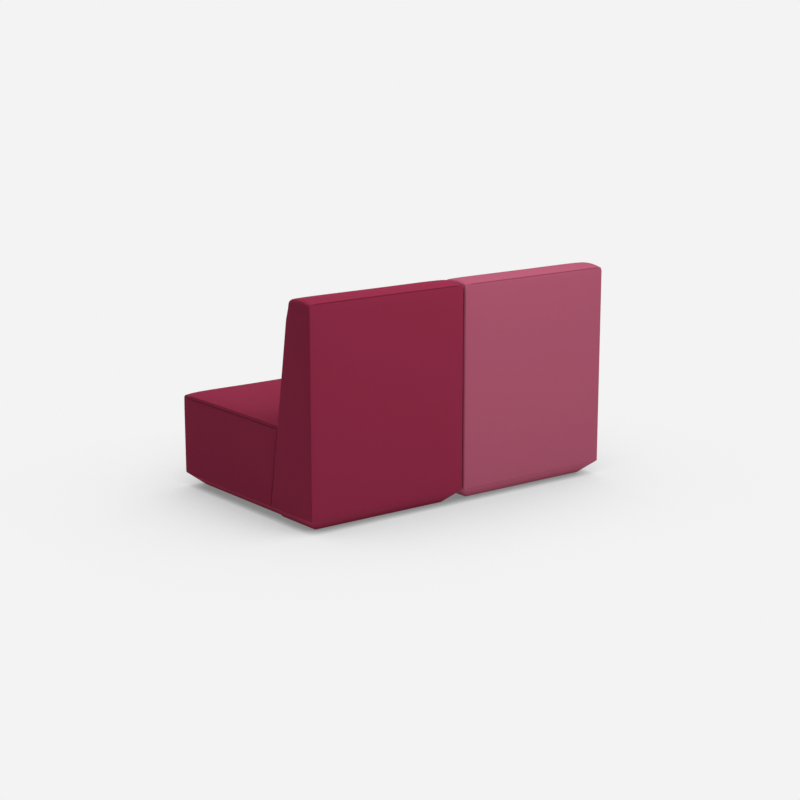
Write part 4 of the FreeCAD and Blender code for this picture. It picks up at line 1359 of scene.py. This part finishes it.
@dataclass
class DustCloth:
    """The black cloth that closes a seat's underside: stapled along its edges, and slack between them."""

    side: Side
    step: float = 12 * MM
    thickness: float = 0.5 * MM
    sag: float = 0.8 * MM
    pucker: float = 0.3 * MM
    pucker_reach: float = 30 * MM
    staple_pitch: float = 40 * MM
    staple_inset: float = 8 * MM
    staple_length: float = 11 * MM
    staple_radius: float = 0.45 * MM

    def __post_init__(self) -> None:
        """Take the cloth's place from its node."""
        self.body = f"{self.side.value}_seat"
        self.node = f"{self.body}_dust_cover"
        low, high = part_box(self.node)
        self.low = np.array(low)
        self.high = np.array(high)
        self.width, self.length, _ = self.high - self.low

    def build(self) -> bpy.types.Object:
        """Lay the cloth as a grid.

        Its height is the node's, less a sag that is a sine across times a sine along, with small puckers
        between the staples that fade away from the edge.

        Returns:
            The piece.
        """
        across = np.linspace(0, 1, round(self.width / self.step) + 1)
        down = np.linspace(0, 1, round(self.length / self.step) + 1)
        u, v = np.meshgrid(across, down)
        edge = np.minimum(np.minimum(u, 1 - u) * self.width, np.minimum(v, 1 - v) * self.length)
        turns = 2 * pi / self.staple_pitch
        wave = np.cos(turns * u * self.width) * np.cos(turns * v * self.length)
        slack = self.sag * np.sin(pi * u) * np.sin(pi * v)
        slack = slack + self.pucker * wave * np.exp(-edge / self.pucker_reach)
        points = np.dstack((
            self.low[0] + u * self.width, self.low[1] + v * self.length, self.high[2] - self.pucker - slack
        )).reshape(-1, 3)
        index = np.arange(u.size).reshape(u.shape)
        quads = np.stack((index[:-1, :-1], index[1:, :-1], index[1:, 1:], index[:-1, 1:]), axis=2)
        mesh = mesh_of(f"{self.body}_dust_cloth", points, quads.reshape(-1, 4).tolist())
        made = add_piece(mesh, DUST_CLOTH, self.body, self.node)
        thicken(made, self.thickness, offset=0)
        return made

    def staples(self) -> bpy.types.Object:
        """Set wire staples along the four edges of the cloth, at even steps of about the pitch.

        Returns:
            The piece.
        """
        made = []
        for along, across in ((0, 1), (1, 0)):
            span = self.high[along] - self.low[along] - 2 * self.staple_pitch
            count = round(span / self.staple_pitch) + 1
            run = self.low[along] + self.staple_pitch + np.linspace(0, span, count)
            for edge in (self.low[across] + self.staple_inset, self.high[across] - self.staple_inset):
                centres = np.full((count, 3), self.high[2] - self.pucker - self.thickness)
                centres[:, along] = run
                centres[:, across] = edge
                direction = np.zeros((count, 3))
                direction[:, along] = 1
                made.append((centres, direction, np.tile((0.0, 0.0, -1.0), (count, 1))))
        rods = [np.vstack(part) for part in zip(*made)]
        mesh = mesh_of(f"{self.body}_staples", *capsules(*rods, self.staple_length, self.staple_radius))
        return add_piece(mesh, STAPLE_WIRE, self.body)


@dataclass
class Filling:
    """A soft piece under a cover, drawn in a little so that the cloth clears it at its seams."""

    node: str
    stuff: Stuffing
    fill: float = 1.0
    edge_steps: int = 3

    def build(self) -> bpy.types.Object:
        """Copy the node's mesh, move every point inwards along its normal, and round the cut edges.

        Returns:
            The piece.
        """
        source = frame["nodes"][self.node]
        mesh = source.data.copy()
        mesh.name = f"{self.node}_{self.stuff.ending}"
        sew(mesh)
        places = np.empty(3 * len(mesh.vertices))
        normals = np.empty(3 * len(mesh.vertices))
        mesh.vertices.foreach_get("co", places)
        mesh.vertices.foreach_get("normal", normals)
        mesh.vertices.foreach_set("co", places - self.stuff.draw_in * normals)
        made = add_piece(mesh, self.stuff.finish, source["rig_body"], self.node)
        edges = made.modifiers.new("cut_edges", "BEVEL")
        edges.width = self.stuff.edge
        edges.segments = self.edge_steps
        edges.limit_method = "ANGLE"
        return made


@dataclass
class Hardware:
    """The frame, springs and fittings, which keep their own solids."""

    finishes: tuple[tuple[tuple[str, ...], Grained], ...] = NODE_FINISHES

    def dress(self) -> int:
        """Give every node that still shows its finish.

        Returns:
            How many nodes were dressed.
        """
        shown = {name: item for name, item in frame["nodes"].items() if not item.hide_render}
        made: dict[Grained, bpy.types.Material] = {}
        for name, item in shown.items():
            finish = next(finish for endings, finish in self.finishes if name.endswith(endings))
            if finish not in made:
                made[finish] = finish.material()
            item.data.materials.clear()
            item.data.materials.append(made[finish])
        return len(shown)


# Studio


@dataclass(frozen=True)
class Lamp:
    """A broad distant lamp: where its light comes from, how bright it makes white, and its spread."""

    name: str
    comes_from: Place
    brightness: float
    spread: float


@dataclass(frozen=True)
class Softbox:
    """A square lamp: where it stands, what it points at, how wide it is and its power in watts."""

    name: str
    place: Place
    target: Place
    width: float
    power: float


def set_up(data: bpy.types.ID, back: Vector | Place, place: Place = (0.0, 0.0, 0.0)) -> bpy.types.Object:
    """Put a lamp or the camera into the scene.

    Args:
        data: the light or the camera.
        back: the direction that its back is turned to.
        place: where it stands.

    Returns:
        The object.
    """
    made = bpy.data.objects.new(data.name, data)
    made.location = place
    made.rotation_euler = Vector(back).to_track_quat("Z", "Y").to_euler()
    bpy.context.scene.collection.objects.link(made)
    return made


@dataclass
class Studio:
    """A wide pale floor, a broad lamp overhead, a weak one in front, a softbox behind and the camera."""

    floor_size: float = 400.0
    backdrop: str = "#F3F3F3"
    # The floor's painted shadow: how it darkens where the sofa hides the sky, which leans to the rear as
    # the lamps do
    sky_towards: Place = (-0.06, 0.19, 1.0)
    shade_reach: float = 0.8
    shade_power: float = 1.6
    shade_share: float = 1.1
    shade_most: float = 0.75
    shade_samples: int = 10
    # What the floor sends back to the sofa: a grey's bounce, and a glow that is painted light
    bounce: str = "#B4B4B4"
    painted_floor_glow: str = "#9E9E9E"
    glow_power: float = 0.4
    lamps: tuple[Lamp, ...] = (
        Lamp("overhead_lamp", (0.0, 0.0, 1.0), 0.57, 1.0),
        Lamp("front_lamp", (-0.1, -0.98, 0.16), 0.18, 0.8),
    )
    softbox: Softbox = Softbox("rear_softbox", (-0.4, 2.4, 3.2), (0.0, 0.4, 0.5), 2.0, 69.0)
    camera_place: Place = (3.971, 5.1846, 1.8257)
    camera_back: Place = (0.5949, 0.7712, 0.2268)
    lens: float = 81.27
    sensor: float = 36.0

    def paper(self) -> bpy.types.Material:
        """Matt studio paper: a pale even sweep that shows only the sofa's soft shadow, which is painted.

        The painted shadow is a power of the share of the sky that the sofa hides within the reach, up to a
        limit, and the lamps cast none on it that the camera sees. What the paper sends back to the sofa is
        a matt grey's light, and a painted glow with a root of that shadow in it.

        Returns:
            The material.
        """
        material, tree = blank("matt_studio_paper")
        lean = add_node(tree, "ShaderNodeCombineXYZ", dict(enumerate(self.sky_towards))).outputs[0]
        sky = {"Distance": self.shade_reach, "Normal": lean}
        open_sky = add_node(tree, "ShaderNodeAmbientOcclusion", sky, samples=self.shade_samples)
        shade = open_sky.outputs["AO"]
        for operation, given in (
            ("SUBTRACT", {0: 1.0}), ("POWER", {1: self.shade_power}), ("MULTIPLY", {1: self.shade_share}),
            ("MINIMUM", {1: self.shade_most}), ("SUBTRACT", {0: 1.0}),
        ):
            values = {0: shade, 1: shade, **given}
            shade = add_node(tree, "ShaderNodeMath", values, operation=operation).outputs[0]
        root = {0: shade, 1: self.glow_power}
        weak = add_node(tree, "ShaderNodeMath", root, operation="POWER").outputs[0]
        # The paper's colour with its painted shadow for rays that show it, and a painted glow that lights
        # the sofa
        seen, glow = [
            add_node(tree, "ShaderNodeEmission", {"Color": linear(colour), "Strength": strength}).outputs[0]
            for colour, strength in ((self.backdrop, shade), (self.painted_floor_glow, weak))
        ]
        grey = add_node(tree, "ShaderNodeBsdfDiffuse", {"Color": linear(self.bounce)}).outputs[0]
        sent = add_node(tree, "ShaderNodeAddShader", {0: grey, 1: glow}).outputs[0]
        mixed = add_node(tree, "ShaderNodeMixShader", {0: shown_rays(tree), 1: sent, 2: seen})
        add_node(tree, "ShaderNodeOutputMaterial", {"Surface": mixed.outputs[0]})
        return material

    def floor(self) -> None:
        """Lay the paper on one large triangle, its corners at even turns round the sofa."""
        turn = 2 * pi * np.arange(3) / 3
        corners = self.floor_size * np.column_stack((np.cos(turn), np.sin(turn), np.zeros(3)))
        mesh = mesh_of("studio_floor", corners, [[0, 1, 2]])
        mesh.materials.append(self.paper())
        made = bpy.data.objects.new(mesh.name, mesh)
        bpy.context.scene.collection.objects.link(made)

    def lights(self) -> None:
        """A sky as pale as the floor that gives no light of its own, the lamps and the softbox."""
        world = bpy.data.worlds.new("studio_sky")
        world.use_nodes = True
        tree = world.node_tree
        tree.nodes.clear()
        pale = {"Color": linear(self.backdrop), "Strength": shown_rays(tree)}
        sky = add_node(tree, "ShaderNodeBackground", pale)
        add_node(tree, "ShaderNodeOutputWorld", {"Surface": sky.outputs[0]})
        bpy.context.scene.world = world
        for lamp in self.lamps:
            light = bpy.data.lights.new(lamp.name, "SUN")
            light.energy = pi * lamp.brightness
            light.angle = lamp.spread
            set_up(light, lamp.comes_from)
        square = bpy.data.lights.new(self.softbox.name, "AREA")
        square.energy = self.softbox.power
        square.size = self.softbox.width
        facing = Vector(self.softbox.place) - Vector(self.softbox.target)
        set_up(square, facing, self.softbox.place).visible_camera = False

    def camera(self) -> None:
        """The photograph's viewpoint."""
        data = bpy.data.cameras.new("photo_camera")
        data.lens = self.lens
        data.sensor_width = self.sensor
        data.clip_end = self.floor_size
        bpy.context.scene.camera = set_up(data, self.camera_back, self.camera_place)


def main() -> None:
    """Build the covers, dress the rest and set the studio up."""
    logging.basicConfig(level=logging.INFO, format="%(name)s: %(message)s")
    seat = Upholstery(
        Kind.SEAT, SEAT_SEAMS, edge_radius=4.5 * MM, crown=1.5 * MM, nose_radius=11 * MM, top_swell=8 * MM
    )
    back = Upholstery(Kind.BACK, BACK_SEAMS, edge_radius=4 * MM, crown=9 * MM, nose_radius=22 * MM)
    pieces = []
    for cover in (seat, back):
        pattern = cover.mesh()
        pieces += [cover.fit(side, pattern) for side in Side]
    stitching = Stitching(seat)
    for side in Side:
        cloth = DustCloth(side)
        pieces += [stitching.sew_on(side), cloth.build(), cloth.staples()]
    for ending, stuff in STUFFINGS.items():
        pieces += [Filling(name, stuff).build() for name in frame["nodes"] if name.endswith(ending)]
    for piece in pieces:
        log.info("%s: %d faces", piece.name, len(piece.data.polygons))
    log.info("hardware: %d nodes", Hardware().dress())
    studio = Studio()
    studio.floor()
    studio.lights()
    studio.camera()
    bpy.context.scene.view_settings.view_transform = "Standard"


if __name__ == "__main__":
    main()
